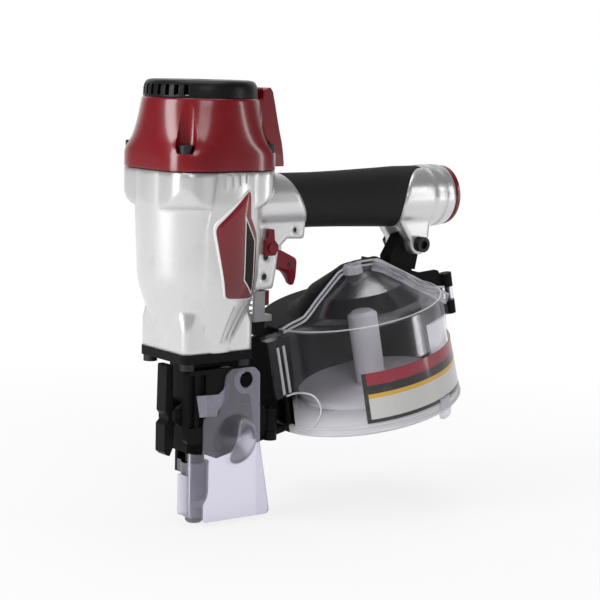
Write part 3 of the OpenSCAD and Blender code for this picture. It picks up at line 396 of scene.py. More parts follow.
def makeCrimson(name):
    kind = crimson[name]
    f = glossyFinish(name, crimson["shine"], crimson["coatRough"])
    cloud = f.noise(*crimson["clouds"])
    dust = f.wear()
    cloudRough, dustRough = crimson["roughVary"]
    clouded = cloud.edge(*crimson["cloudEdge"]) * crimson["cloudShare"]
    colour = f.mix(clouded, kind["colour"], crimson["deep"])
    f.set(Base_Color=f.mix(dust * crimson["scuffShare"], colour, crimson["scuff"]),
          Roughness=kind["rough"] + dust * dustRough + cloud * cloudRough,
          Coat_Weight=kind["coat"] - dust * crimson["coatWorn"],
          Normal=f.bump(f.noise(*crimson["peel"]), *crimson["bump"], f.soft(kind["edge"])))
    return f


# cap casting: round at its top, a soft square with four bolt corners at its foot, in millimetres
capForm = {
    # height, half width across the sides, half width across the corners
    "levels": [(218.0, 39.2, 45.7), (226.0, 39.0, 45.7), (228.4, 38.85, 45.3), (230.8, 38.6, 44.2),
               (233.2, 38.35, 42.6), (236.0, 38.0, 41.0), (239.5, 37.6, 39.6), (244.0, 37.0, 38.2),
               (249.5, 36.3, 36.9), (255.0, 35.6, 35.8), (258.2, 35.2, 35.2), (259.2, 34.9, 34.9),
               (259.6, 34.4, 34.4)],
    # radius, low end and high end of what is cut out
    "chamber": (31.0, 217.0, 252.0), "recess": (34.8, 259.6, 268.0), "drill": (2.55, 217.0, 229.0),
    "boltPlace": 29.0, "channel": 6.0, "seat": 228.0,
    "roof": (251.0, 262.0), "hub": 3.05, "ports": 6, "portPlace": 15.0, "portRadius": 4.5,
    "neckPlace": 32.0, "neck": [(19.6, 218.0), (19.6, 227.4), (18.9, 228.6), (17.6, 229.0)],
    "spur": [(20.0, 218.4), (52.6, 218.4), (51.9, 224.0), (50.8, 231.0), (48.4, 240.0), (46.4, 248.5),
             (44.6, 256.6), (43.5, 261.0), (42.7, 264.4), (41.6, 266.0), (36.4, 266.0), (35.3, 265.0),
             (34.9, 259.0), (20.0, 257.6)],
    "spurHalf": 15.0, "spurEdge": 1.2, "spurTaper": 0.94}


def capSection(z, flat, corner):
    # soft square whose sides lie at flat and whose corners lie at corner
    power = 1.0 / (0.5 - math.log2(corner / flat))
    ring = []
    for c, s in circle(sides["shell"]):
        r = flat / squared(c, s, power)
        ring.append((r * c, r * s, z))
    return ring


def makeCap(finish):
    half, edge, taper = capForm["spurHalf"], capForm["spurEdge"], capForm["spurTaper"]
    levels = [(half, taper), (half - edge, 1.0), (edge - half, 1.0), (-half, taper)]
    steps = [("UNION", turnedMesh("neck", capForm["neckPlace"], 0.0, capForm["neck"])),
             ("UNION", plateMesh("spur", capForm["spur"], levels)),
             bore("chamber", 0.0, 0.0, *capForm["chamber"], sides["large"]),
             bore("recess", 0.0, 0.0, *capForm["recess"], sides["large"]),
             bore("hub", 0.0, 0.0, capForm["hub"], *capForm["roof"], sides["small"])]
    away = capForm["portPlace"]
    for k in range(capForm["ports"]):
        turn = math.radians(360.0 / capForm["ports"] * k)
        steps.append(bore("port", away * math.cos(turn), away * math.sin(turn), capForm["portRadius"],
                          *capForm["roof"], sides["small"]))
    away = capForm["boltPlace"]
    for x in (-away, away):
        for y in (-away, away):
            steps.append(bore("channel", x, y, capForm["channel"], capForm["seat"], capForm["roof"][1]))
            steps.append(bore("drill", x, y, *capForm["drill"], sides["small"]))
    base = ringMesh("capCasting", [capSection(*level) for level in capForm["levels"]])
    piece = addPiece("cap_casting", combine("capCasting", base, steps), finish, "housing", "crimson_cap")
    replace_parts(piece, "cylinder_cap")


# blacks of the rubber, painted steel and moulded plastic
deepBlack, rubberBlack, greyDust = (0.006, 0.006, 0.0065), (0.012, 0.012, 0.0125), (0.035, 0.034, 0.034)

# soft rubber of the grip
rubber = {"colour": rubberBlack, "dust": greyDust, "shine": 0.18,
          "rough": 0.55, "roughVary": (0.16, 0.1), "clouds": (60.0, 4.0), "cloudShare": 0.15,
          "dustShare": 0.5, "grain": 1300.0, "cloudRelief": 0.6, "bump": (0.35, 0.0003), "edge": 0.0008}


def makeRubber():
    f = newFinish("gripRubber", **{"Specular IOR Level": rubber["shine"]})
    cloud = f.noise(*rubber["clouds"])
    dust = f.wear()
    cloudRough, dustRough = rubber["roughVary"]
    dusty = dust * rubber["dustShare"] + cloud * rubber["cloudShare"]
    relief = f.cells(rubber["grain"]) + cloud * rubber["cloudRelief"]
    f.set(Base_Color=f.mix(dusty, rubber["colour"], rubber["dust"]),
          Roughness=rubber["rough"] + cloud * cloudRough + dust * dustRough,
          Normal=f.bump(relief, *rubber["bump"], f.soft(rubber["edge"])))
    return f


# other black pieces: painted steel, moulded plastics and seals
blacks = {"blackSteel": {"colour": deepBlack, "rough": 0.36, "grain": 900.0, "edge": 0.0005, "shine": 0.07},
          "blackPlastic": {"colour": deepBlack, "rough": 0.28, "grain": 600.0, "edge": 0.0006, "shine": 0.2},
          "satinPlastic": {"colour": deepBlack, "rough": 0.5, "grain": 600.0, "edge": 0.0006, "shine": 0.07},
          "sealRubber": {"colour": rubberBlack, "rough": 0.6, "grain": 700.0, "edge": 0.0003, "shine": 0.2},
          "dust": greyDust, "clouds": (45.0, 4.0, 0.6), "cloudShare": 0.12, "dustShare": 0.35,
          "roughVary": (0.14, 0.15), "grainDetail": 2.0, "bump": (0.15, 0.0002)}


def makeBlack(name):
    kind = blacks[name]
    f = newFinish(name, **{"Specular IOR Level": kind["shine"]})
    cloud = f.noise(*blacks["clouds"])
    dust = f.wear()
    cloudRough, dustRough = blacks["roughVary"]
    dusty = dust * blacks["dustShare"] + cloud * blacks["cloudShare"]
    grain = f.noise(kind["grain"], blacks["grainDetail"])
    f.set(Base_Color=f.mix(dusty, kind["colour"], blacks["dust"]),
          Roughness=kind["rough"] + cloud * cloudRough + dust * dustRough,
          Normal=f.bump(grain, *blacks["bump"], f.soft(kind["edge"])))
    return f


# exhaust deflector with fins on its outlet side, in millimetres
fins = {"outer": [(34.2, 259.95), (34.05, 264.6), (33.5, 267.0), (32.6, 268.6), (31.3, 269.6),
                  (29.4, 270.05)],
        "hollow": [(31.6, 258.0), (31.6, 260.0), (29.4, 265.4)], "hub": [(6.0, 259.95), (6.0, 266.2)],
        "recess": (5.6, 266.35, 271.0), "hole": (3.05, 258.0, 267.0), "outlet": 180.0,
        "count": 9, "step": 10.5, "half": 1.35, "reach": (27.5, 36.5), "ends": (261.2, 267.4)}


def makeDeflector(finish):
    steps = [("DIFFERENCE", turnedMesh("hollow", 0.0, 0.0, fins["hollow"], sides["large"])),
             ("UNION", turnedMesh("hub", 0.0, 0.0, fins["hub"])),
             bore("recess", 0.0, 0.0, *fins["recess"]),
             bore("hole", 0.0, 0.0, *fins["hole"])]
    near, far = fins["reach"]
    half = fins["half"]
    corners = ((near, -half), (far, -half), (far, half), (near, half))
    for k in range(fins["count"]):
        turn = math.radians(fins["outlet"] + fins["step"] * (k - 0.5 * (fins["count"] - 1)))
        out = Vector((math.cos(turn), math.sin(turn), 0.0))
        side = Vector((-math.sin(turn), math.cos(turn), 0.0))
        rings = [[out * r + side * a + upright * z for r, a in corners] for z in fins["ends"]]
        steps.append(("DIFFERENCE", ringMesh("slot", rings)))
    shell = turnedMesh("deflectorShell", 0.0, 0.0, fins["outer"], sides["shell"])
    mesh = combine("deflectorShell", shell, steps)
    piece = addPiece("deflector_shell", mesh, finish, "deflector", "black_plastic")
    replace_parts(piece, "exhaust_deflector")


# trigger: flat cheeks that run into a slim curved blade, by distance from its middle in millimetres
triggerForm = {
    "top": [(44.0, 158.0), (37.6, 159.5), (37.6, 166.6), (41.0, 167.6), (52.2, 167.2), (58.5, 165.5)],
    "levels": [
        (6.0, [(69.4, 160.3), (70.4, 158.0), (70.2, 155.4), (69.4, 153.9), (67.4, 153.2), (62.0, 153.6),
               (54.0, 155.4)]),
        (5.0, [(69.9, 160.1), (71.0, 157.8), (70.9, 152.6), (70.0, 150.9), (67.6, 150.8), (62.6, 153.0),
               (54.2, 155.2)]),
        (3.6, [(70.4, 159.9), (71.6, 157.6), (71.6, 147.6), (70.6, 145.6), (68.4, 146.4), (64.0, 151.8),
               (54.6, 155.0)]),
        (2.0, [(70.8, 159.8), (72.0, 157.4), (72.0, 144.8), (70.8, 142.6), (68.6, 143.6), (64.6, 151.0),
               (55.0, 154.8)]),
        (0.0, [(70.8, 159.8), (72.0, 157.4), (72.0, 144.2), (70.8, 142.1), (68.5, 143.2), (64.4, 150.8),
               (55.0, 154.6)])],
    "round": 1.2, "slotHalf": 3.35, "slots": [((45.8, 154.5), (76.0, 171.0)), ((43.0, 154.5), (46.5, 159.0))],
    "pins": [(42.0, 163.0, 2.05), (64.4, 156.5, 1.55)], "pinSides": 32, "pinHalf": 9.0}


def makeTrigger(finish):
    levels = triggerForm["levels"]
    rings = []
    for y, low in levels + [(-y, low) for y, low in reversed(levels[:-1])]:
        rings.append([(x, y, z) for x, z in softCorners(triggerForm["top"] + low, triggerForm["round"])])
    steps = []
    for (x0, z0), (x1, z1) in triggerForm["slots"]:
        steps.append(cutAcross("slot", [(x0, z0), (x1, z0), (x1, z1), (x0, z1)], triggerForm["slotHalf"]))
    for x, z, r in triggerForm["pins"]:
        hole = [(x + r * c, z + r * s) for c, s in circle(triggerForm["pinSides"])]
        steps.append(cutAcross("hole", hole, triggerForm["pinHalf"]))
    mesh = combine("triggerBlade", ringMesh("triggerBlade", rings), steps)
    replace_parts(addPiece("trigger_blade", mesh, finish, "trigger", "crimson_plastic"), "trigger")


# springs: node, joint, place, coil radius, wire radius, turns, ends, share of the length left at full travel
springs = {
    "head_coil": ("head_valve_spring", "head_valve_lift", (0.0, 0.0), 20.0, 1.0, 3, (238.4, 251.7), 0.55),
    "valve_coil": ("valve_spring", "valve_lift", (59.5, 0.0), 3.0, 0.4, 4, (188.05, 197.95), 0.645),
    "contact_coil": ("contact_spring", "contact_lift", (41.2, 0.0), 2.0, 0.35, 6, (126.25, 148.45), 0.68),
}
wireSteps = {"perTurn": 24, "around": 10}


def makeSprings(finish):
    for name, (node, joint, (x, y), radius, wire, turns, (low, high), share) in springs.items():
        count = wireSteps["perTurn"] * turns
        path = []
        for k in range(count + 1):
            t = 2.0 * math.pi * k / wireSteps["perTurn"]
            height = low + wire + (high - low - 2.0 * wire) * k / count
            path.append(Vector((x + radius * math.cos(t), y + radius * math.sin(t), height)))
        mesh = sweptMesh(name, path, (wire, wire), upright, wireSteps["around"])
        piece = addPiece(name, mesh, finish, "housing", "spring_steel")
        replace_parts(piece, node)
        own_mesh(piece)


# bare metals: colour and roughness of each, then what they share
metals = {"blackenedBolt": ((0.05, 0.05, 0.053), 0.38), "zincPlate": ((0.36, 0.36, 0.37), 0.36),
          "groundSteel": ((0.6, 0.6, 0.61), 0.22), "footSteel": ((0.2, 0.2, 0.207), 0.2),
          "feedMetal": ((0.05, 0.05, 0.053), 0.4), "turnedMetal": ((0.62, 0.62, 0.63), 0.3),
          "streaks": (900.0, 2.0), "streakRough": 0.12, "bump": (0.12, 0.0001), "edge": 0.0004,
          "clouds": (70.0, 4.0), "cloudEdge": (0.35, 0.75), "cloudShare": 0.6, "cloudRough": 0.1,
          "wornShare": 0.3, "darken": 0.55}


def makeMetal(name):
    colour, rough = metals[name]
    f = newFinish(name, Metallic=1.0)
    streak = f.noise(*metals["streaks"])
    cloud = f.noise(*metals["clouds"])
    dull = cloud.edge(*metals["cloudEdge"]) * metals["cloudShare"] + f.wear() * metals["wornShare"]
    f.set(Base_Color=f.mix(dull, colour, tuple(metals["darken"] * c for c in colour)),
          Roughness=rough + streak * metals["streakRough"] + cloud * metals["cloudRough"],
          Normal=f.bump(streak, *metals["bump"], f.soft(metals["edge"])))
    return f


# pale moulded plastic of the coil tray
tray = {"colour": (0.84, 0.84, 0.85), "shade": (0.72, 0.72, 0.735), "shadeShare": 0.4, "rough": 0.42,
        "clouds": (40.0, 4.0), "cloudRough": 0.15, "grain": (800.0, 2.0), "bump": (0.12, 0.0002),
        "edge": 0.0006}


def makeTray():
    f = newFinish("trayPlastic")
    cloud = f.noise(*tray["clouds"])
    shaded = cloud * tray["shadeShare"] + f.wear() * tray["shadeShare"]
    f.set(Base_Color=f.mix(shaded, tray["colour"], tray["shade"]),
          Roughness=tray["rough"] + cloud * tray["cloudRough"],
          Normal=f.bump(f.noise(*tray["grain"]), *tray["bump"], f.soft(tray["edge"])))
    return f


# the magazine's tilt, and the middle of its foot in millimetres
magazine = {"tilt": math.radians(12.0), "middle": (125.3, -10.3, 63.3)}


def drumPlace(f):
    # place along, across and above the tilted magazine, in millimetres
    x, y, z = f.millimetres()
    mx, my, mz = magazine["middle"]
    c, s = math.cos(magazine["tilt"]), math.sin(magazine["tilt"])
    return (x - mx) * c + (z - mz) * s, y - my, (z - mz) * c - (x - mx) * s


def drumPoint(u, v, w):
    # the other way, from the magazine's own place to the frame
    mx, my, mz = magazine["middle"]
    c, s = math.cos(magazine["tilt"]), math.sin(magazine["tilt"])
    return Vector((mx + u * c - w * s, my + v, mz + u * s + w * c))


def insideLine(x, z, line):
    # distance to the right of a line from its first point to its second
    (x0, z0), (x1, z1) = line
    length = math.hypot(x1 - x0, z1 - z0)
    return (x - x0) * ((z1 - z0) / length) - (z - z0) * ((x1 - x0) / length)


def insideAll(depths, blend):
    # least of the distances, with soft corners
    least = depths[0]
    for depth in depths[1:]:
        least = least.calc("SMOOTH_MIN", least, depth, blend)
    return least


def awaySquared(x, z, place):
    # square of the distance from a place
    return (x - place[0]) * (x - place[0]) + (z - place[1]) * (z - place[1])


# clear plastics: a tinted see-through layer under a gloss skin, milky where the moulding gathers light; that
# milkiness is partly real haze and partly painted highlight and painted light
clear = {"shine": 0.5, "index": 1.5, "skinIndex": 1.45, "waves": (28.0, 2.0), "waveDepth": 0.002,
         "scuffMilk": 0.03, "scuffSoil": 0.2, "rough": 0.3, "scuffRough": 0.25}


def makeClear(name, look, milkAndHighlightOf, swellOf=None):
    f = newFinish(name, **{"Specular IOR Level": clear["shine"], "IOR": clear["index"]})
    scuff = f.wear()
    # the milky layer carries real haze and also the painted highlights and painted light of the cover, shield
    # and beads
    milkAndHighlight = milkAndHighlightOf(f) + scuff * clear["scuffMilk"]
    swollen = f.bump(swellOf(f), 1.0, 1.0) if swellOf else None
    bumped = f.bump(f.noise(*clear["waves"]), look["wave"], clear["waveDepth"], swollen)
    f.set(Base_Color=f.mix(scuff * clear["scuffSoil"], look["milkAndHighlight"], look["soil"]),
          Roughness=clear["rough"] + scuff * clear["scuffRough"], Normal=bumped)
    through = f.node("ShaderNodeBsdfTransparent", {}, {"Color": look["tint"]}, None)
    gloss = f.node("ShaderNodeBsdfGlossy", {}, {"Color": white, "Roughness": look["blur"],
                                                "Normal": bumped}, None)
    glance = f.node("ShaderNodeFresnel", {}, {"IOR": clear["skinIndex"], "Normal": bumped}) * look["gloss"]
    skin = f.layer(glance, through, gloss)
    f.layer(milkAndHighlight.atMost(1.0), skin, f.shader)
    return f


def evenMilkAndHighlight(amount, scale, vary):
    # the same milkiness all over, with faint clouds in it; on the beads this milkiness is a painted highlight
    def milkAndHighlight(f):
        return amount + f.noise(scale) * vary
    return milkAndHighlight


# magazine cover: milky at its shoulder, its ribs, its foot and low on its wall, in the magazine's
# millimetres; the milk at the shoulder, ribs and foot is a painted highlight, and the milk low on the wall is
# painted light from the lit tray and glare showing through
cover = {"tint": (0.955, 0.948, 0.97), "milkAndHighlight": (0.79, 0.787, 0.82), "soil": (0.4, 0.39, 0.38),
         "gloss": 0.24, "blur": 0.21, "wave": 0.05,
         "rim": 0.6, "veil": 0.004, "mist": 60.0, "mistShare": 0.015,
         "shoulder": 67.5, "shoulderEdge": (0.3, 0.8), "wall": 58.4, "wallEdge": (-1.2, -0.6),
         "ribs": (-60.5, -9.5), "ribEdge": (0.0, 0.3), "footEdge": (0.6, 2.2),
         "low": 0.72, "lowEdge": (2.0, 24.0)}


def coverMilkAndPaintedLight(f):
    u, v, w = drumPlace(f)
    onWall = ((u * u + v * v).root() - cover["wall"]).edge(*cover["wallEdge"])
    shoulder = (1.0 - abs(w - cover["shoulder"]).edge(*cover["shoulderEdge"])) * onWall
    ribU, ribV = cover["ribs"]
    ribs = (ribV - v).edge(*cover["ribEdge"]) * (ribU - u).edge(*cover["ribEdge"])
    foot = 1.0 - w.edge(*cover["footEdge"])
    low = (1.0 - w.edge(*cover["lowEdge"])) * cover["low"]
    # painted highlights along the shoulder, ribs and foot, and painted light low on the wall, over a faint
    # even haze
    rims = shoulder.atLeast(ribs).atLeast(foot) * cover["rim"]
    return rims.atLeast(low) + cover["veil"] + f.noise(cover["mist"]) * cover["mistShare"]


# debris shield: milky round its hole and along its free edge as a painted highlight, over an even haze, with
# a low bulge, in millimetres
shield = {"tint": (0.88, 0.87, 0.94), "milkAndHighlight": (0.72, 0.71, 0.84), "soil": (0.4, 0.39, 0.42),
          "gloss": 1.0, "blur": 0.2, "wave": 0.35,
          "haze": 0.045, "paintedEdgeHighlight": 0.12, "mist": (18.0, 2.0), "mistShare": 0.05,
          "hole": (27.0, 88.5), "lip": (7.2, 1.3), "band": 2.2, "fade": 0.5,
          "edge": ((46.5, 2.0), (38.0, 48.0), (37.0, 92.0)),
          "bulge": (20.0, 51.5), "bulgeRadius": 17.0, "bulgeHeight": 0.0045,
          "arm": [(-9.2, 81.8), (6.4, 81.2), (9.6, 83.4), (13.4, 87.4), (13.4, 75.6), (9.0, 73.0),
                  (6.2, 71.4), (5.4, 67.8), (-6.8, 68.4)],
          "armLevels": [(-14.2, 0.97), (-14.4, 1.0), (-15.1, 1.0), (-15.35, 0.97)],
          "armMilk": (0.16, 60.0, 0.15)}


def shieldMilkAndHighlight(f):
    x, y, z = f.millimetres()
    middle, width = shield["lip"]
    fade = shield["fade"]
    lip = 1.0 - abs(awaySquared(x, z, shield["hole"]).root() - middle).edge(width, width + fade)
    low, corner, high = shield["edge"]
    depth = insideLine(x, z, (corner, low)).atMost(insideLine(x, z, (high, corner)))
    band = 1.0 - depth.edge(shield["band"], shield["band"] + fade)
    mist = f.noise(*shield["mist"]) * shield["mistShare"]
    # painted highlight on the lip round the hole and along the free edge, over an even haze and faint clouds
    return shield["haze"] + lip.atLeast(band) * shield["paintedEdgeHighlight"] + mist


def shieldBulge(f):
    # low swelling of the sheet, in metres
    x, y, z = f.millimetres()
    reach = awaySquared(x, z, shield["bulge"]) / (shield["bulgeRadius"] * shield["bulgeRadius"])
    hump = (1.0 - reach).atLeast(0.0)
    return hump * hump * shield["bulgeHeight"]


def makeShield():
    dress(makeClear("clearShield", shield, shieldMilkAndHighlight, shieldBulge), "debris_shield")
    arm = plateMesh("shieldArm", shield["arm"], shield["armLevels"])
    finish = makeClear("shieldArm", shield, evenMilkAndHighlight(*shield["armMilk"]))
    addPiece("shield_arm", arm, finish, "door", "clear_shield")


# beads, strap, boss and tab moulded on the cover, in the magazine's own millimetres; the milky beads draw
# painted highlight lines along the cover's edges
trim = {"flange": [(-57.5, 67.6), (-50.0, 69.0), (-41.0, 70.2), (-36.0, 72.8), (-29.5, 77.4), (-23.5, 81.3),
                   (-16.0, 86.0), (-9.0, 90.3), (-5.5, 91.4), (1.0, 92.5), (8.0, 93.1), (15.0, 92.3),
                   (22.0, 91.2), (26.0, 89.8), (34.0, 83.9), (42.5, 77.2), (50.0, 70.9), (55.5, 66.0),
                   (60.0, 63.4), (64.5, 61.0), (71.0, 59.2), (77.0, 57.6)],
        "flangeFace": -2.8, "flangeBead": 0.75, "second": -2.7,
        "strap": [(19.0, 88.6), (26.0, 85.4), (33.0, 80.8), (41.0, 75.2), (49.0, 69.6), (55.0, 65.2),
                  (61.0, 60.6), (67.0, 56.4), (72.0, 53.0), (77.0, 49.6)],
        "strapPlace": -4.2, "strapHalf": (1.3, 3.2), "strapEdges": (3.0, -3.0),
        "strapSides": 20, "strapSquare": 5.0,
        "rim": [(62.2, 1.5, 0.8), (61.95, 5.3, 0.5)], "rimTurn": (-171.0, -9.0), "rimSteps": 60,
        "throat": [(-66.0, -9.2, 27.2), (-60.4, -9.8, 27.3), (-58.4, -17.6, 28.2), (-56.4, -23.8, 26.8),
                   (-55.0, -27.2, 21.5), (-55.4, -27.0, 15.0), (-57.6, -22.8, 8.4), (-60.2, -15.4, 3.4)],
        "throatBead": 0.65,
        "boss": [(6.6, 88.4), (6.6, 92.6), (5.7, 93.8), (4.2, 93.8), (3.8, 92.6)], "bossPlace": (1.0, -6.0),
        "bossSides": 8, "bossSharp": 20.0,
        "tab": [(9.0, 5.5, 62.6), (2.0, 5.6, 63.0), (-3.0, 4.6, 62.6), (-5.0, 3.4, 62.0)], "tabTurn": -73.0,
        "tabDeep": 3.2, "tabEdge": 0.5, "tabSharp": 30.0,
        # milkiness, scale of its clouds and how much they add; the beads' milkiness is a painted highlight
        "beadMilk": (0.62, 90.0, 0.2), "strapMilk": (0.1, 70.0, 0.3), "blockMilk": (0.3, 70.0, 0.3)}


def addTrim(name, mesh, finish, **smoothing):
    addPiece(name, mesh, finish, "cover", "clear_cover", **smoothing)


def addBead(name, run, thick, finish, across=sideways):
    addTrim(name, sweptMesh(name, [drumPoint(*point) for point in run], (thick, thick), across), finish)


def makeTrim():
    bead, strap, block = [makeClear(kind + "Plastic", cover, evenMilkAndHighlight(*trim[kind + "Milk"]))
                          for kind in ("bead", "strap", "block")]
    flangeRun = rounded([(u, trim["flangeFace"], w) for u, w in trim["flange"]])
    strapRun = rounded([(u, trim["strapPlace"], w) for u, w in trim["strap"]])
    upper, lower = trim["strapEdges"]
    # milky beads that carry painted highlight lines along the flange, the strap and the rims
    for name, run in (("cover_edge_bead", flangeRun),
                      ("cover_inner_bead", besideRun(flangeRun, trim["second"])),
                      ("cover_strap_bead_1", besideRun(strapRun, upper)),
                      ("cover_strap_bead_2", besideRun(strapRun, lower))):
        addBead(name, run, trim["flangeBead"], bead)
    run = [drumPoint(*point) for point in strapRun]
    addTrim("cover_strap", sweptMesh("strap", run, trim["strapHalf"], sideways, trim["strapSides"],
                                     trim["strapSquare"]), strap)
    first, last = trim["rimTurn"]
    steps = trim["rimSteps"]
    turns = [math.radians(first + (last - first) * k / steps) for k in range(steps + 1)]
    for number, (radius, height, thick) in enumerate(trim["rim"]):
        run = [(radius * math.cos(t), radius * math.sin(t), height) for t in turns]
        addBead("cover_rim_bead_%d" % (number + 1), run, thick, bead, upright)
    addBead("cover_throat_bead", rounded(trim["throat"]), trim["throatBead"], bead)
    x, y = trim["bossPlace"]
    turns = [math.radians(360.0 / trim["bossSides"] * (k + 0.5)) for k in range(trim["bossSides"])]
    rings = []
    for radius, height in trim["boss"]:
        rings.append([drumPoint(x + radius * math.cos(t), y + radius * math.sin(t), height) for t in turns])
    addTrim("cover_boss", ringMesh("boss", rings), block, sharp=trim["bossSharp"])
    turn = math.radians(trim["tabTurn"])
    out, along = Vector((math.cos(turn), math.sin(turn), 0.0)), Vector((-math.sin(turn), math.cos(turn), 0.0))
    edge = trim["tabEdge"]
    rings = []
    for height, half, radius in trim["tab"]:
        inner = radius - trim["tabDeep"]
        corners = [(inner, -half), (radius - edge, -half), (radius, edge - half), (radius, half - edge),
                   (radius - edge, half), (inner, half)]
        rings.append([drumPoint(*(out * r + along * a + upright * height)) for r, a in corners])
    addTrim("cover_foot_tab", ringMesh("footTab", rings), block, sharp=trim["tabSharp"])


# printed badge, a soft pad drawn from the place on the surface in millimetres
badge = {"red": (0.24, 0.005, 0.014), "deep": (0.14, 0.003, 0.008), "black": (0.006, 0.006, 0.007),
         "white": (0.74, 0.74, 0.74), "soil": (0.4, 0.3, 0.3), "soilShare": 0.12,
         "border": 0.8, "line": 0.75, "blend": 5.0, "panelBlend": 0.5, "printEdge": (0.0, 0.15),
         "shade": (150.0, 210.0),
         "shine": 0.3, "rough": 0.28, "fleckRough": 0.08, "panelRough": 0.35,
         "coat": 0.6, "coatRough": 0.05, "fleckCoat": 0.05, "panelCoat": 0.55,
         "flecks": (1800.0, 2.0), "bump": (0.03, 0.0001),
         "corners": [(8.8, 207.6), (10.9, 206.6), (11.9, 191.0), (19.2, 179.4), (18.6, 140.6), (-5.2, 142.2),
                     (-14.3, 183.4), (-13.9, 187.6)],
         "round": 3.0, "roundSteps": 6, "step": 1.0, "middle": (3.0, 171.0), "bridging": 8, "outside": -0.2,
         # share of the outline and rise above the casting, from the rim to the middle
         "swell": [(1.0, -0.5), (1.0, 0.2), (0.99, 0.55), (0.975, 0.8), (0.95, 1.0), (0.9, 1.2), (0.8, 1.4),
                   (0.65, 1.55), (0.45, 1.65), (0.25, 1.7), (0.08, 1.7)],
         "outline": [((-14.1, 186.0), (9.0, 208.0)), ((-5.2, 142.2), (-14.3, 184.0)),
                     ((18.6, 140.6), (-5.2, 142.2)), ((19.2, 179.4), (18.6, 140.6))],
         "notch": [((11.9, 191.0), (19.2, 179.4)), ((10.9, 206.6), (11.9, 191.0))],
         "panel": [((6.8, 189.6), (15.2, 176.3)), ((15.2, 176.3), (15.6, 145.4)),
                   ((15.6, 145.4), (7.6, 153.7)), ((7.6, 153.7), (6.8, 189.6))]}


def castingFace(x, z):
    # how far back the casting's near face lies, in millimetres
    start = (0.001 * x, badge["outside"], 0.001 * z)
    spot = nodes["main_body"].ray_cast(start, sideways)[1]
    return 1000.0 * spot.y


def badgeMesh():
    outline = fineRun(softCorners(badge["corners"], badge["round"], badge["roundSteps"]), badge["step"])
    count = len(outline)
    rings = []
    for share, rise in badge["swell"]:
        flat = shrunk(outline, badge["middle"], share)
        depth = [castingFace(x, z) for x, z in flat]
        for turn in range(badge["bridging"]):
            # the pad bridges the small steps of the casting
            depth = [0.5 * depth[k] + 0.25 * (depth[k - 1] + depth[(k + 1) % count]) for k in range(count)]
        rings.append([(x, y - rise, z) for (x, z), y in zip(flat, depth)])
    return ringMesh("badgePad", rings)


def makeBadge():
    f = glossyFinish("badgePrint", badge["shine"], badge["coatRough"])
    x, y, z = f.millimetres()
    upper, lower = [insideLine(x, z, line) for line in badge["notch"]]
    depths = [insideLine(x, z, line) for line in badge["outline"]]
    depth = insideAll(depths + [upper.atLeast(lower)], badge["blend"])
    panel = insideAll([insideLine(x, z, line) for line in badge["panel"]], badge["panelBlend"])
    dark = panel.edge(*badge["printEdge"])
    # painted shade: the red is painted darker towards the bottom of the badge
    colour = f.mix(z.edge(*badge["shade"]), badge["deep"], badge["red"])
    colour = f.mix((panel + badge["line"]).edge(*badge["printEdge"]), colour, badge["white"])
    colour = f.mix(dark, colour, badge["black"])
    colour = f.mix((depth - badge["border"]).edge(*badge["printEdge"]), badge["white"], colour)
    fleck = f.noise(*badge["flecks"])
    f.set(Base_Color=f.mix(f.wear() * badge["soilShare"], colour, badge["soil"]),
          Roughness=badge["rough"] + fleck * badge["fleckRough"] + dark * badge["panelRough"],
          Coat_Weight=badge["coat"] - fleck * badge["fleckCoat"] - dark * badge["panelCoat"],
          Normal=f.bump(fleck, *badge["bump"]))
    dress(f, "side_badge")
    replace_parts(addPiece("badge_pad", badgeMesh(), f, "housing", "badge"), "side_badge")


# printed bands of the cover's label, by height on the drum in millimetres, and its ends in degrees
label = {"red": (0.27, 0.012, 0.03), "black": (0.012, 0.011, 0.012), "yellow": (0.62, 0.36, 0.04),
         "white": (0.56, 0.56, 0.55), "soil": (0.4, 0.38, 0.36), "soilShare": 0.2,
         "bands": [(9.2, "white"), (22.4, "yellow"), (25.2, "black"), (30.7, "red")], "bandEdge": (0.0, 0.2),
         "ends": (-124.6, -29.0), "endEdge": (0.0, 0.3), "shine": 0.35, "rough": 0.3, "fleckRough": 0.1,
         "coat": 0.5, "coatRough": 0.08, "fleckCoat": 0.1, "flecks": (1500.0, 2.0), "bump": (0.03, 0.0001)}


def makeLabel():
    f = glossyFinish("labelPrint", label["shine"], label["coatRough"])
    u, v, w = drumPlace(f)
    turn = v.angle(u) * (180.0 / math.pi)
    colour = label["black"]
    for height, ink in label["bands"]:
        colour = f.mix((w - height).edge(*label["bandEdge"]), colour, label[ink])
    first, last = label["ends"]
    within = (turn - first).edge(*label["endEdge"]) * (1.0 - (turn - last).edge(*label["endEdge"]))
    colour = f.mix(within, label["black"], colour)
    fleck = f.noise(*label["flecks"])
    f.set(Base_Color=f.mix(f.wear() * label["soilShare"], colour, label["soil"]),
          Roughness=label["rough"] + fleck * label["fleckRough"],
          Coat_Weight=label["coat"] - fleck * label["fleckCoat"], Normal=f.bump(fleck, *label["bump"]))
    return f


dress(makeCasting(), "main_body")
crimsonPaint = makeCrimson("crimsonPaint")
dress(crimsonPaint, "cylinder_cap", "end_cap")
makeCap(crimsonPaint)
crimsonPlastic = makeCrimson("crimsonPlastic")
dress(crimsonPlastic, "trigger", "lock_lever", "depth_dial")
makeTrigger(crimsonPlastic)
print("casting, cap and trigger made")

dress(makeRubber(), "handle_grip")
dress(makeBlack("blackSteel"), "nose_casting", "feed_door", "door_latch", "contact_arm")
blackPlastic = makeBlack("blackPlastic")
dress(blackPlastic, "exhaust_deflector", "trigger_valve")
makeDeflector(blackPlastic)
dress(makeBlack("satinPlastic"), "magazine_base", "magazine_arm")
dress(makeBlack("sealRubber"), "cap_gasket", "sleeve_seals", "bumper", "head_valve_seal", "piston_ring")
print("black pieces made")

